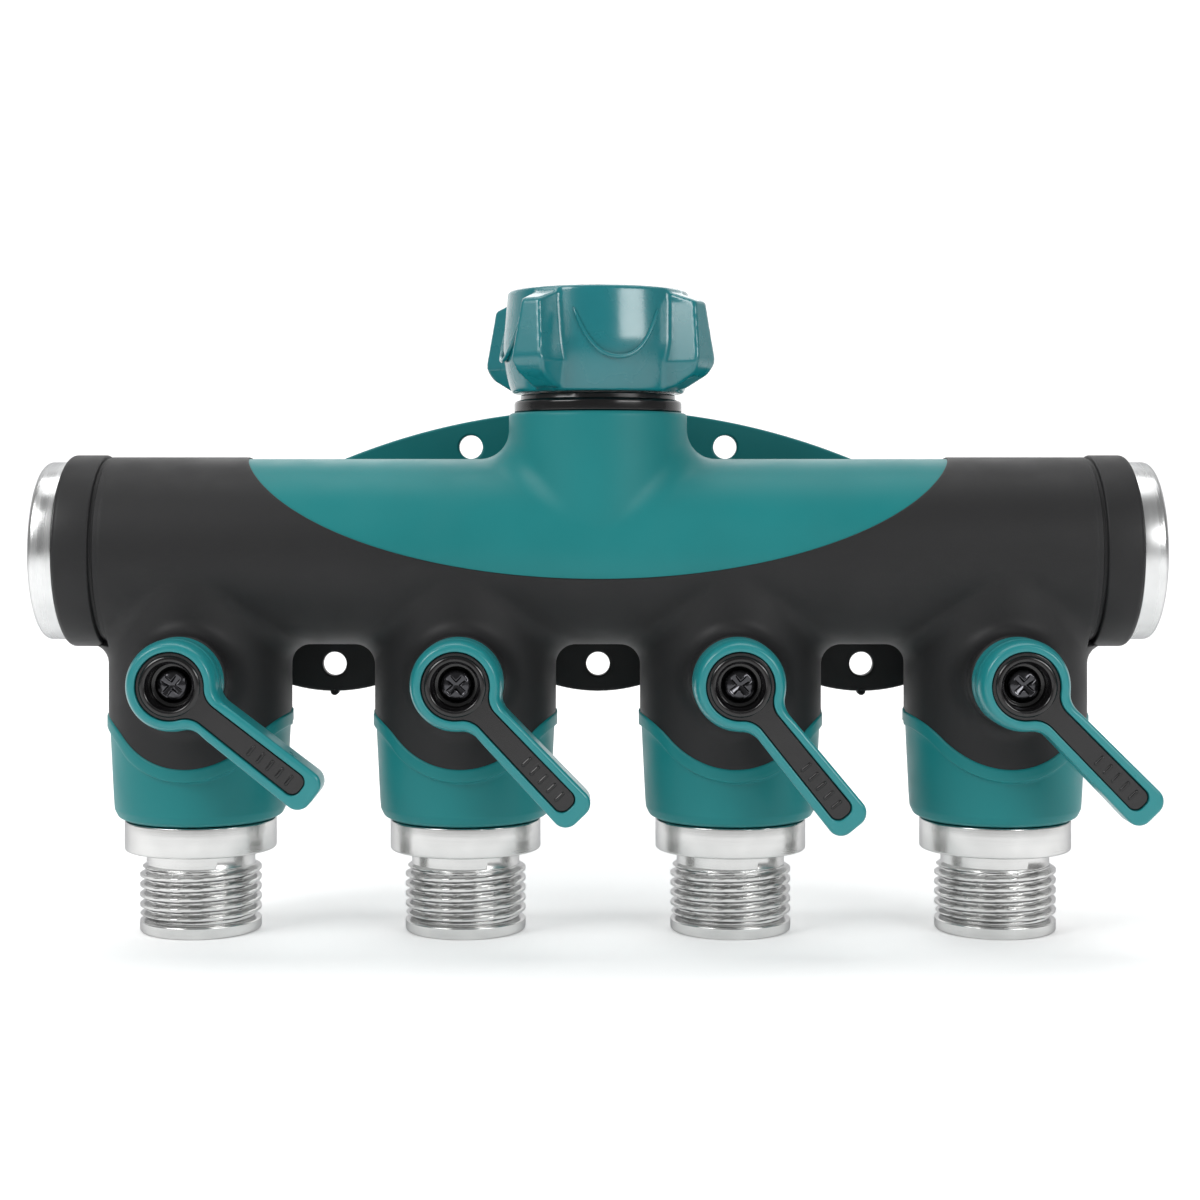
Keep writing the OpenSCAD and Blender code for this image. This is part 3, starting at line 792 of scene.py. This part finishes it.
def build_ribs():
    """Upright ribs that hold the plate off the barrel, with rubber over their lower half."""
    rib_set("ribs", rib_outline(-RIB_LOW, RIB_HIGH, False), RIB_T, "teal_plastic")
    coat_loop = rib_outline(-RIB_LOW - RIB_SKIN, RIB_COAT_TOP, True)
    rib_set("rib_coats", coat_loop, RIB_T + 2 * RIB_SKIN, "black_rubber")


# ---- Skin ----

def seam_value(x, y, z):
    """Above zero where a branch carries the skin, below zero where it carries the sleeve."""
    level = z - SEAM_LEVEL
    disc = np.full(np.shape(z), -FAR)
    for i in OUTLETS:
        disc = np.maximum(disc, SEAM_R - np.hypot(x - PIVOTS[i][0], z - PIVOT_Z))
    disc = np.where(y < 0, disc, -FAR)
    return -smooth_union(-level, -disc, 5.0)


def skin_keep(p):
    """Above zero where the skin stays: outside the window, above the sleeves, round the stem holes."""
    x, y, z = np.moveaxis(p, -1, 0)
    keep = np.minimum(ellipse_distance(x, z), seam_value(x, y, z))
    keep = np.minimum(keep, np.maximum(108.0 - np.abs(x), BARREL_Z - 21.2 - z))
    for i in OUTLETS:
        hole = np.hypot(x - PIVOTS[i][0], z - PIVOT_Z) - 5.0
        keep = np.where(y < -22, np.minimum(keep, hole), keep)
    return keep


def build_skin():
    """Black rubber over the barrel, branches and bosses, with a bead at each end."""
    low = (-113, -27, PIVOT_Z - 24)
    high = (113, 23, BARREL_Z + 23)
    points, faces = surface_net(skin_field, low, high, 0.9)
    points = relax(skin_field, points, faces)
    parts = [trimmed(skin_field, skin_keep, points, faces, 0.9, rim=0.3, depth=1.2)]
    bead_start = SKIN_END - BEAD_LEN
    groove_start = bead_start - GROOVE
    profile = rounded([
        (BARREL_R - 2.4, 107.9, 0), (BARREL_R, 107.9, 0), (BARREL_R, groove_start, 0.2),
        (BARREL_R - 0.5, groove_start + 0.15, 0.15), (BARREL_R - 0.5, bead_start - 0.15, 0.15),
        (BEAD_R, bead_start, 0.45), (BEAD_R, SKIN_END, 1.3), (BARREL_R - 2.4, SKIN_END, 0)
    ])
    bead, bead_faces = lathe(profile[::-1], 144)
    for side in (-1, 1):
        parts.append((along_barrel(bead, side), bead_faces))
    skin = new_object("skin", parts, "black_rubber", 40)
    place_piece(skin, "manifold", "black_rubber", "grip_skin")


def build_webs():
    """Three scalloped webs in the plate's plane below the barrel, each with a screw hole."""
    centre_z = WEB_LOW + WEB_R
    cusp = math.degrees(math.asin(WEB_PITCH / 2 / WEB_R))
    edge = math.degrees(math.asin((PLATE_HALF_W - WEB_PITCH) / WEB_R))
    outline = [(PLATE_HALF_W, PLATE_SPLIT - 0.1), (-PLATE_HALF_W, PLATE_SPLIT - 0.1)]
    outline += arc(-WEB_PITCH, centre_z, WEB_R, 270 - edge, 270 + cusp, 40)
    outline += arc(0, centre_z, WEB_R, 270 - cusp, 270 + cusp, 40)[1:]
    outline += arc(WEB_PITCH, centre_z, WEB_R, 270 - cusp, 270 + edge, 40)[1:]
    loops = [outline[::-1]] + [hole_loop(*place) for place in LOWER_HOLES]
    parts = [plate_piece(loops)]
    half = PLATE_T / 2
    nub = rounded([(0.001, -half, 0), (1, -half, 0.3), (1, half, 0.3), (0.001, half, 0)])
    nub, nub_faces = lathe(nub, 32)
    for x in (-WEB_PITCH, WEB_PITCH):
        parts.append((turned(nub, FORWARD, (x, WALL_Y - PLATE_T / 2, WEB_LOW)), nub_faces))
    webs = new_object("webs", parts, "black_rubber", 50, weighted=True)
    place_piece(webs, "manifold", "black_rubber")


# ---- Outlets ----

SLEEVE_STEPS = 192
LIP_R = 20.6
LIP_W = 2.5
LIP_RISE = 0.75
SLEEVE_R = 19.2
SLEEVE_FOOT = 30.5
SLEEVE_TAPER = 0.05
SLEEVE_IN_R = 17.6
PITCH = 2.209
MALE_R = 13.49
MALE_ROOT_R = 12.06
SPIGOT_BORE_R = 10.1
FEMALE_R = 12.2
FEMALE_ROOT_R = 13.62
RIDGE_FOOT = 0.95
RIDGE_FLAT = 0.28
FIRST_CREST = 4.9
THREAD_ROW = 0.13


def seam_heights(turn):
    """Height of the sleeve's top edge over the outlet's end, at angles from the front."""
    x = PIVOTS[1][0] + BRANCH_R * np.sin(turn)
    y = -BRANCH_R * np.cos(turn)
    low = np.full(len(turn), END_Z + 27.0)
    high = np.full(len(turn), PIVOT_Z - 5.0)
    for _ in range(40):
        middle = (low + high) / 2
        above = seam_value(x, y, middle) > 0
        high = np.where(above, middle, high)
        low = np.where(above, low, middle)
    return (low + high) / 2 - END_Z


def build_sleeves():
    """Teal cap round the foot of a branch: its top edge dips in front along the skin's disc."""
    turn = np.arange(SLEEVE_STEPS) * 2 * math.pi / SLEEVE_STEPS
    top = seam_heights(turn)
    slope = (np.roll(top, -1) - np.roll(top, 1)) / (2 * BRANCH_R * 2 * math.pi / SLEEVE_STEPS)
    lip = LIP_W * np.sqrt(1 + slope * slope)
    rows = []

    def row(radius, height):
        """Adds a ring of points; radius and height are one number, or one for each point."""
        radius = np.zeros_like(top) + radius
        height = np.zeros_like(top) + height
        rows.append(np.stack([radius * np.sin(turn), -radius * np.cos(turn), height], axis=1))

    row(13.0, 27.4)
    row(13.0, 25.4)
    foot = rounded([
        (13.0, 25.4, 0), (16.9, 25.3, 0.3), (18.2, 25.95, 1.2), (19.0, 27.6, 2.0),
        (SLEEVE_R, SLEEVE_FOOT, 0)
    ])
    for radius, height in foot[1:-1]:
        row(radius, height)
    shoulder = top - lip - LIP_RISE
    for share in np.linspace(0, 1, 10):
        height = SLEEVE_FOOT + (shoulder - SLEEVE_FOOT) * share
        row(SLEEVE_R + (height - SLEEVE_FOOT) * SLEEVE_TAPER, height)
    side = SLEEVE_R + (shoulder - SLEEVE_FOOT) * SLEEVE_TAPER
    for out, up in ((0.05, 0.12), (0.3, 0.3), (0.7, 0.5), (0.93, 0.66), (1.0, 0.9)):
        row(side + (LIP_R - side) * out, shoulder + LIP_RISE * up)
    for share in (0.4, 0.8):
        row(LIP_R, shoulder + LIP_RISE + (lip - 0.55) * share)
    for back, down in ((0.0, 0.5), (0.07, 0.25), (0.25, 0.07), (0.5, 0.0), (1.0, -0.02)):
        row(LIP_R - back, top - down)
    row(SLEEVE_IN_R, top)
    row(SLEEVE_IN_R, 27.4)
    faces = ring_faces(SLEEVE_STEPS, len(rows), closed=True)
    sleeve = new_object("sleeve", [(np.concatenate(rows), faces)], "teal_plastic", 45)
    copies(sleeve, "sleeve", "teal_plastic", "outlet_sleeve")


def ridge_height(turn, height, first, low, high):
    """Share of the full thread at an angle and height: a right-hand helix fading at both ends."""
    along = (height - first) / PITCH - turn / (2 * math.pi)
    gap = np.abs(along - np.round(along)) * PITCH
    share = np.clip((RIDGE_FOOT - gap) / (RIDGE_FOOT - RIDGE_FLAT), 0, 1)
    share = share * share * (3 - 2 * share) * 0.35 + share * 0.65
    fade = np.clip((height - low) / 1.0, 0, 1) * np.clip((high - height) / 1.0, 0, 1)
    return share * fade


def threaded(profile, root, crest, first, low, high):
    """A lathe part whose rows between low and high carry a helical ridge."""
    points, faces = lathe(profile, 160)
    radius = np.hypot(points[:, 0], points[:, 1])
    turn = np.arctan2(points[:, 1], points[:, 0])
    in_zone = (points[:, 2] > low) & (points[:, 2] < high) & (np.abs(radius - root) < 0.01)
    share = np.where(in_zone, ridge_height(turn, points[:, 2], first, low, high), 0)
    scale = (radius + (crest - root) * share) / radius
    points[:, :2] *= scale[:, None]
    return points, faces


def build_spigots():
    """Aluminium outlets: end band, helical male thread, relief groove and plain collar."""
    zone = [(MALE_ROOT_R, z) for z in np.arange(3.15, 15.3, THREAD_ROW)]
    lower = rounded([
        (SPIGOT_BORE_R, 0, 0.35), (MALE_R, 0, 0.75), (MALE_R, 2.6, 0.3), (MALE_ROOT_R, 3.1, 0),
        (SPIGOT_BORE_R, 3.1, 0)
    ])
    lower = [tuple(p) for p in lower[:-2]]
    upper = rounded([
        (MALE_ROOT_R, 17.0, 0), (MALE_ROOT_R, 18.3, 0.3), (16.85, 18.3, 0.55), (16.85, 25, 0.4),
        (12.87, 25, 0.1), (12.87, 46.0, 0.4), (SPIGOT_BORE_R, 46.0, 0.3), (SPIGOT_BORE_R, 20, 0)
    ])
    profile = lower + zone + [tuple(p) for p in upper]
    points, faces = threaded(profile, MALE_ROOT_R, MALE_R, FIRST_CREST, 3.2, 15.2)
    spigot = new_object("spigot", [(points, faces)], "aluminium", 38)
    copies(spigot, "spigot", "aluminium", "outlet_spigot")


# ---- Barrel ends and collar ----

def build_end_plugs():
    """Aluminium plugs with a domed edge and a faintly dished face."""
    head = PLUG_END - SKIN_END
    profile = rounded([
        (0.001, -13, 0), (13.9, -13, 0.5), (13.9, 0.05, 0.2), (19.9, 0.05, 0.3), (19.9, head, 1.5),
        (16.2, head, 0.25), (15.7, head - 0.35, 0.25), (9.0, head - 0.42, 0), (4.0, head - 0.45, 0),
        (0.001, head - 0.45, 0)
    ], 7)
    points, faces = lathe(profile, 144)
    for side, name, node in ((-1, "plug_left", "end_plug_left"), (1, "plug_right", "end_plug_right")):
        placed = along_barrel(points, side, side * SKIN_END)
        plug = new_object(name, [(placed, faces)], "aluminium_plug", 38)
        place_piece(plug, "manifold", "aluminium", node)


def build_collar():
    """Black ring under the nut: a rounded lower band and a narrower upper one."""
    step = MOUTH_Z - 24.5
    profile = rounded([
        (10.45, NECK_TOP + COLLAR_GAP, 0), (18.8, NECK_TOP + COLLAR_GAP, 0.45), (18.8, step, 0.75),
        (17.5, step + 0.1, 0.3), (17.3, COLLAR_HIGH[2], 0.3), (10.45, COLLAR_HIGH[2], 0)
    ], 6)
    collar = new_object("collar", [lathe(profile, 160)], "black_plastic", 45)
    place_piece(collar, "manifold", "black_plastic", "swivel_collar")


# ---- Nut ----

NUT_H = MOUTH_Z - NUT_LOW[2]
NUT_WIDE = 21.8
NUT_BREAK = 17.2
NUT_TOP_R = 20.2
LOBES = (-33, 57, 147, 237)
LOBE_TOP = (26.7, -3.2)
LOBE_LOW = (28.4, -16.6)
NUT_BORE = 14.6


def half_plane(a, b, first, second):
    """Distance from the line through two (a, b) points, above zero on the right of travel."""
    along = np.array(second, float) - np.array(first, float)
    along /= np.linalg.norm(along)
    return (a - first[0]) * along[1] - (b - first[1]) * along[0]


def nut_field(p):
    """Nut's outside: a flared body with four flat-faced lobes. Depth is measured down from the mouth."""
    x, y, z = p[..., 0], p[..., 1], p[..., 2] - MOUTH_Z
    r = np.hypot(x, y)
    flare = half_plane(r, z, (NUT_WIDE, -NUT_BREAK), (NUT_TOP_R, 0))
    foot = half_plane(r, z, (19.2, -NUT_H), (NUT_WIDE, -NUT_BREAK))
    field = smooth_cut(flare, foot, 3.2)
    for turn in LOBES:
        c, s = math.cos(math.radians(turn - 90)), math.sin(math.radians(turn - 90))
        out = x * c + y * s
        across = np.abs(y * c - x * s)
        face = half_plane(out, z, LOBE_LOW, LOBE_TOP)
        under = half_plane(out, z, (20.8, -NUT_H + 0.5), (LOBE_LOW[0], -18.2))
        top = half_plane(out, z, LOBE_TOP, (19.8, -0.9))
        half = 2.2 + 0.13 * np.clip(LOBE_TOP[1] - z, 0, 13.4) - 0.28 * np.clip(LOBE_LOW[1] - z, 0, 6)
        half = half + 0.1 * (LOBE_LOW[0] - out)
        lobe = smooth_cut(smooth_cut(face, under, 3.0), smooth_cut(top, -NUT_H + 0.5 - z, 0.3), 0.7)
        lobe = smooth_cut(lobe, (across - half) * 0.985, 0.55)
        lobe = np.maximum(lobe, 18.5 - out)
        field = smooth_union(field, lobe, 0.9)
    return smooth_cut(smooth_cut(field, z, 0.7), -NUT_H - z, 0.5)


def build_nut():
    """Glossy swivel nut with an arc line between its lobes and a helical thread inside."""
    low = (-28.5, -28.5, MOUTH_Z - NUT_H - 1)
    high = (28.5, 28.5, MOUTH_Z + 1)
    points, faces = surface_net(nut_field, low, high, 0.5)
    points = relax(nut_field, points, faces, 2)

    def keep(p):
        return np.hypot(p[..., 0], p[..., 1]) - NUT_BORE

    parts = [trimmed(nut_field, keep, points, faces, 0.5)]
    zone = [(FEMALE_ROOT_R, z) for z in np.arange(-0.7, -13.5, -THREAD_ROW)]
    profile = [(NUT_BORE, 0), (14.45, -0.02), (14.3, -0.1), (13.75, -0.6)] + zone + [
        (FEMALE_ROOT_R, -15), (FEMALE_ROOT_R, -18.2), (10.46, -18.2), (10.46, -NUT_H), (NUT_BORE, -NUT_H)
    ]
    inside, inside_faces = threaded(profile[::-1], FEMALE_ROOT_R, FEMALE_R, -1.8, -13.4, -0.65)
    parts.append((inside + [0, 0, MOUTH_Z], inside_faces))
    spread = np.linspace(-1, 1, 49)
    for turn in LOBES:
        angle = np.radians(turn + 45 - 90 + 27 * spread)
        drop = -15.6 + 10.9 * np.abs(spread) ** 2.3
        radius = 20.3 + (NUT_WIDE - NUT_TOP_R) * (-drop / NUT_BREAK)
        path = np.stack([radius * np.cos(angle), radius * np.sin(angle), drop + MOUTH_Z], axis=1)
        parts.append(tube_along(path, 0.48, 14))
    nut = new_object("nut", parts, "teal_nut", 40)
    place_piece(nut, "swivel_nut", "teal_nut", "inlet_nut")


# ---- Levers, drawn with u along the arm, v across it and f towards the front ----

HUB_R = 9.75
REACH = 38.0
HUB_BACK = 25.6
ARM_BACK = 28.5
LEVER_FRONT = 36.5
LEVER_ROUND = 0.7
SCREW_H = 1.95
RECESS_DEPTH = 1.4
INSERT_GAP = 0.08


def keyhole(hub_r, root, tip, reach, corner, fillet):
    """A hub with an arm along +u, as (u, v) points; root and tip are the arm's half widths."""
    lean = math.atan2(tip - root, reach - corner)
    line = root * math.cos(lean)
    centre = np.array([math.sqrt((hub_r + fillet) ** 2 - (line + fillet) ** 2), line + fillet])
    spin = np.array([[math.cos(lean), -math.sin(lean)], [math.sin(lean), math.cos(lean)]])
    centre = spin @ centre
    lift = math.degrees(math.atan2(centre[1], centre[0]))
    foot = math.degrees(lean) - 90
    upper = arc(reach - corner, tip - corner, corner, 0, 90, 8)
    start = np.array([reach - corner, tip])
    end = centre + fillet * np.array([math.cos(math.radians(foot)), math.sin(math.radians(foot))])
    upper += [tuple(start + (end - start) * k / 14) for k in range(1, 14)]
    upper += arc(centre[0], centre[1], fillet, foot, lift - 180, 12)
    upper += arc(0, 0, hub_r, lift, 180, 40)[1:]
    lower = [(u, -v) for u, v in upper[1:-1]][::-1]
    return np.array(upper + lower + [(reach, corner - tip)])


def lever_loop(inset):
    return keyhole(HUB_R - inset, 4.0 - inset, 4.5 - inset, REACH - inset, 3.0 - inset, 4.5 + inset)


def insert_loop(inset):
    return keyhole(7.2 - inset, 2.2 - inset, 2.5 - inset, 34.8 - inset, 2.0 - inset, 5.0 + inset)


def skin_loops(rows):
    """Faces between loops of one length, open at both ends: a row is (loop, f), or one f a point."""
    count = len(rows[0][0])
    points = [np.stack([loop[:, 0], np.zeros(count) - f, loop[:, 1]], axis=1) for loop, f in rows]
    return np.concatenate(points), ring_faces(count, len(rows), flip=True)


def rounding(angle):
    """How far a quarter round has come in from its wall and still has to rise, as shares of its radius."""
    return 1 - math.cos(math.radians(angle)), 1 - math.sin(math.radians(angle))


def forward_lathe(profile, steps):
    """A lathe part whose axis points to the front."""
    points, faces = lathe(profile, steps)
    return turned(points, FORWARD, (0, 0, 0)), faces


def brow_rows():
    """Rows of the lever's front edge: a small rounding along the arm, a deep sloping brow round the hub."""
    rows = []
    for k in range(8):
        side, drop = rounding(90 * k / 7)
        arm = lever_loop(0.9 * side)
        hub = lever_loop(1.5 * side)
        share = np.clip((13 - arm[:, 0]) / 7, 0, 1)
        share = share * share * (3 - 2 * share)
        loop = arm + share[:, None] * (hub - arm)
        rows.append((loop, LEVER_FRONT - drop * (0.9 + 3.7 * share)))
    return rows


def build_levers():
    """Teal levers: a hub with an arm, a rounded rim and a sunk bed for the insert."""
    rows = [(insert_loop(-INSERT_GAP), 31.6)]
    for angle in (0, 30, 60, 90):
        side, drop = rounding(angle)
        rows.append((insert_loop(-INSERT_GAP - 0.25 * side), LEVER_FRONT - 0.25 * drop))
    rows += brow_rows()[::-1]
    rows += [(lever_loop(0), ARM_BACK + 3.0), (lever_loop(0), ARM_BACK + LEVER_ROUND)]
    for angle in (30, 60, 90):
        side, drop = rounding(angle)
        rows.append((lever_loop(LEVER_ROUND * side), ARM_BACK + LEVER_ROUND * drop))
    points, faces = skin_loops(rows)
    count = len(rows[0][0])
    last = (len(rows) - 1) * count
    faces.append(tuple(range(count)))
    faces.append(tuple(last + k for k in range(count))[::-1])
    hub_r = HUB_R - 0.02
    hub = rounded([(4.95, HUB_BACK, 0), (hub_r, HUB_BACK, 0.6), (hub_r, 33.0, 0), (4.95, 33.0, 0)])
    parts = [(points, faces), forward_lathe(hub, 128)]
    lever = new_object("lever", parts, "teal_lever", 40, weighted=True)
    copies(lever, "lever_grip", "teal_lever", "lever", at_levers=True)


def build_inserts():
    """Black inserts: a sunk strip with grip ribs and a raised ring round a deep cup, whose black lining is
    partly the insert's own black and partly painted shade for the deep recess.
    """
    strip_top = 35.95
    points, faces = outline_fill([insert_loop(0), hole_loop(0, 0, 5.3)], 1.9, 0.3)
    flat = np.stack([points[:, 0], -(strip_top - 0.95 + points[:, 2]), points[:, 1]], axis=1)
    parts = [(flat, [f[::-1] for f in faces])]
    # The ring runs on down the recess as a black lining over the lever's teal wall and floor: partly the
    # insert's own black, partly painted shade for the deep recess.
    ring = rounded([
        (2.6, 31.9, 0), (4.69, 31.9, 0.35), (4.69, 35.2, 0.3), (5.3, 36.3, 0.5), (6.1, 36.3, 0.8),
        (7.1, 35.3, 0.3), (7.05, 34.4, 0), (4.9, 34.4, 0), (4.9, 31.75, 0), (2.6, 31.75, 0)
    ], 6)
    parts.append(forward_lathe(ring[::-1], 128))
    for k in range(5):
        along = 21.6 + 2.5 * k
        path = [(along, -strip_top + 0.14, v) for v in np.linspace(-1.5, 1.5, 9)]
        parts.append(tube_along(path, 0.42, 12, (1.0, 0.0, 0.0)))
    insert = new_object("insert", parts, "black_plastic", 40, weighted=True)
    copies(insert, "lever_strip", "black_plastic", "lever_insert", at_levers=True)


def screw_field(p):
    """Pan head with a tapered cross recess; the third axis is the height over the head's seat."""
    a, b, h = np.moveaxis(p, -1, 0)
    r = np.hypot(a, b)
    head = smooth_cut(smooth_cut(r - 3.7, h - SCREW_H + 0.08 * r * r, 0.7), -h, 0.1)
    cut = np.full(np.shape(h), FAR)
    for across, along in ((a, b), (b, a)):
        slot = np.maximum(np.abs(across) - 0.34 - 0.12 * h, np.abs(along) - 1.75 - 0.35 * h)
        cut = np.minimum(cut, slot)
    cut = np.maximum(cut, SCREW_H - RECESS_DEPTH - h + 0.35 * r)
    return smooth_cut(head, -cut, 0.4)


def build_screws():
    """Cross-recess screws at the bottom of the cups."""
    points, faces = surface_net(screw_field, (-4, -4, -0.3), (4, 4, 2.3), 0.16)
    points = settle(screw_field, points, 3)
    place = np.stack([points[:, 0], -(32.0 + points[:, 2]), points[:, 1]], axis=1)
    shank = rounded([(0.001, 24.0, 0), (1.9, 24.0, 0.4), (1.9, 32.1, 0), (0.001, 32.1, 0)])
    screw = new_object("screw", [(place, faces), forward_lathe(shank, 48)], "screw_steel", 50)
    copies(screw, "lever_bolt", "screw_steel", "lever_screw", at_levers=True)


# ---- Parts kept from the frame ----

KEPT = {
    "": "teal_plastic",
    "outlet_o_ring": "seal_rubber",
    "valve_seats": "seat_ptfe",
    "valve_ball": "ball_steel",
    "valve_stem": "stem_brass",
    "stem_o_ring": "seal_rubber",
    "end_plug_o_ring": "seal_rubber",
    "inlet_tail": "aluminium",
    "inlet_tail_o_ring": "seal_rubber",
    "inlet_washer": "seal_rubber",
}


def finish_kept_parts():
    """Gives every CAD node its material; the longest matching name wins, and "" matches them all."""
    for name, node in frame["nodes"].items():
        match = max([k for k in KEPT if name.startswith(k)], key=len)
        smooth_shaded(node.data, MATERIALS[KEPT[match]], 30)


# ---- Stage ----

CAMERA_Y = -480.0
CAMERA_Z = MOUTH_Z - 45.5


def soft_box(name, size, location, target, energy):
    light = bpy.data.lights.new(name, "AREA")
    light.shape = "RECTANGLE"
    light.size, light.size_y = size[0] * MM, size[1] * MM
    light.energy = energy
    obj = in_scene(name, light)
    place = np.array(location, float)
    aim = np.array(target, float) - place
    obj.location = place * MM
    obj.rotation_mode = "QUATERNION"
    obj.rotation_quaternion = mathutils.Vector(aim).to_track_quat("-Z", "Y")


def build_stage():
    """Pale floor and backdrop in one curved sheet, soft lights all round and the camera."""
    sweep = [(-1500.0, END_Z)]
    sweep += [(400.0, END_Z)]
    sweep += arc(400.0, END_Z + 300, 300, 270, 360, 16)[1:]
    sweep += [(700.0, END_Z + 1600)]
    points, faces = [], []
    for y, z in sweep:
        points += [(-2200, y, z), (2200, y, z)]
    for k in range(len(sweep) - 1):
        faces.append((2 * k, 2 * k + 1, 2 * k + 3, 2 * k + 2))
    new_object("floor", [(points, faces)], "paper")
    centre = (0, 0, BARREL_Z)
    soft_box("key", (420, 340), (-560, -440, 400), centre, 3.5)
    soft_box("fill", (440, 190), (520, -560, 200), centre, 2.2)
    soft_box("top", (700, 300), (0, 0, 620), centre, 1.4)
    soft_box("back", (500, 300), (0, 520, 300), centre, 0.5)
    soft_box("wash", (1800, 200), (0, 250, 900), (0, 700, 250), 3.2)
    world = bpy.data.worlds.new("studio")
    bpy.context.scene.world = world
    world.use_nodes = True
    set_inputs(world.node_tree.nodes["Background"], {"Color": (1, 1, 1, 1), "Strength": 0.24})
    camera = bpy.data.cameras.new("camera")
    camera.lens = 64
    camera.sensor_width = 36
    camera.shift_x = 0.0017
    camera.shift_y = -0.0875
    camera.clip_start = 0.01
    camera.clip_end = 20
    view = in_scene("camera", camera)
    view.location = (0, CAMERA_Y * MM, CAMERA_Z * MM)
    view.rotation_euler = (math.pi / 2, 0, 0)
    bpy.context.scene.camera = view


build_stage()
build_body()
build_plate()
build_ribs()
build_skin()
build_webs()
build_sleeves()
build_spigots()
build_end_plugs()
build_collar()
build_nut()
build_levers()
build_inserts()
build_screws()
finish_kept_parts()
bpy.context.scene.view_settings.view_transform = "Standard"
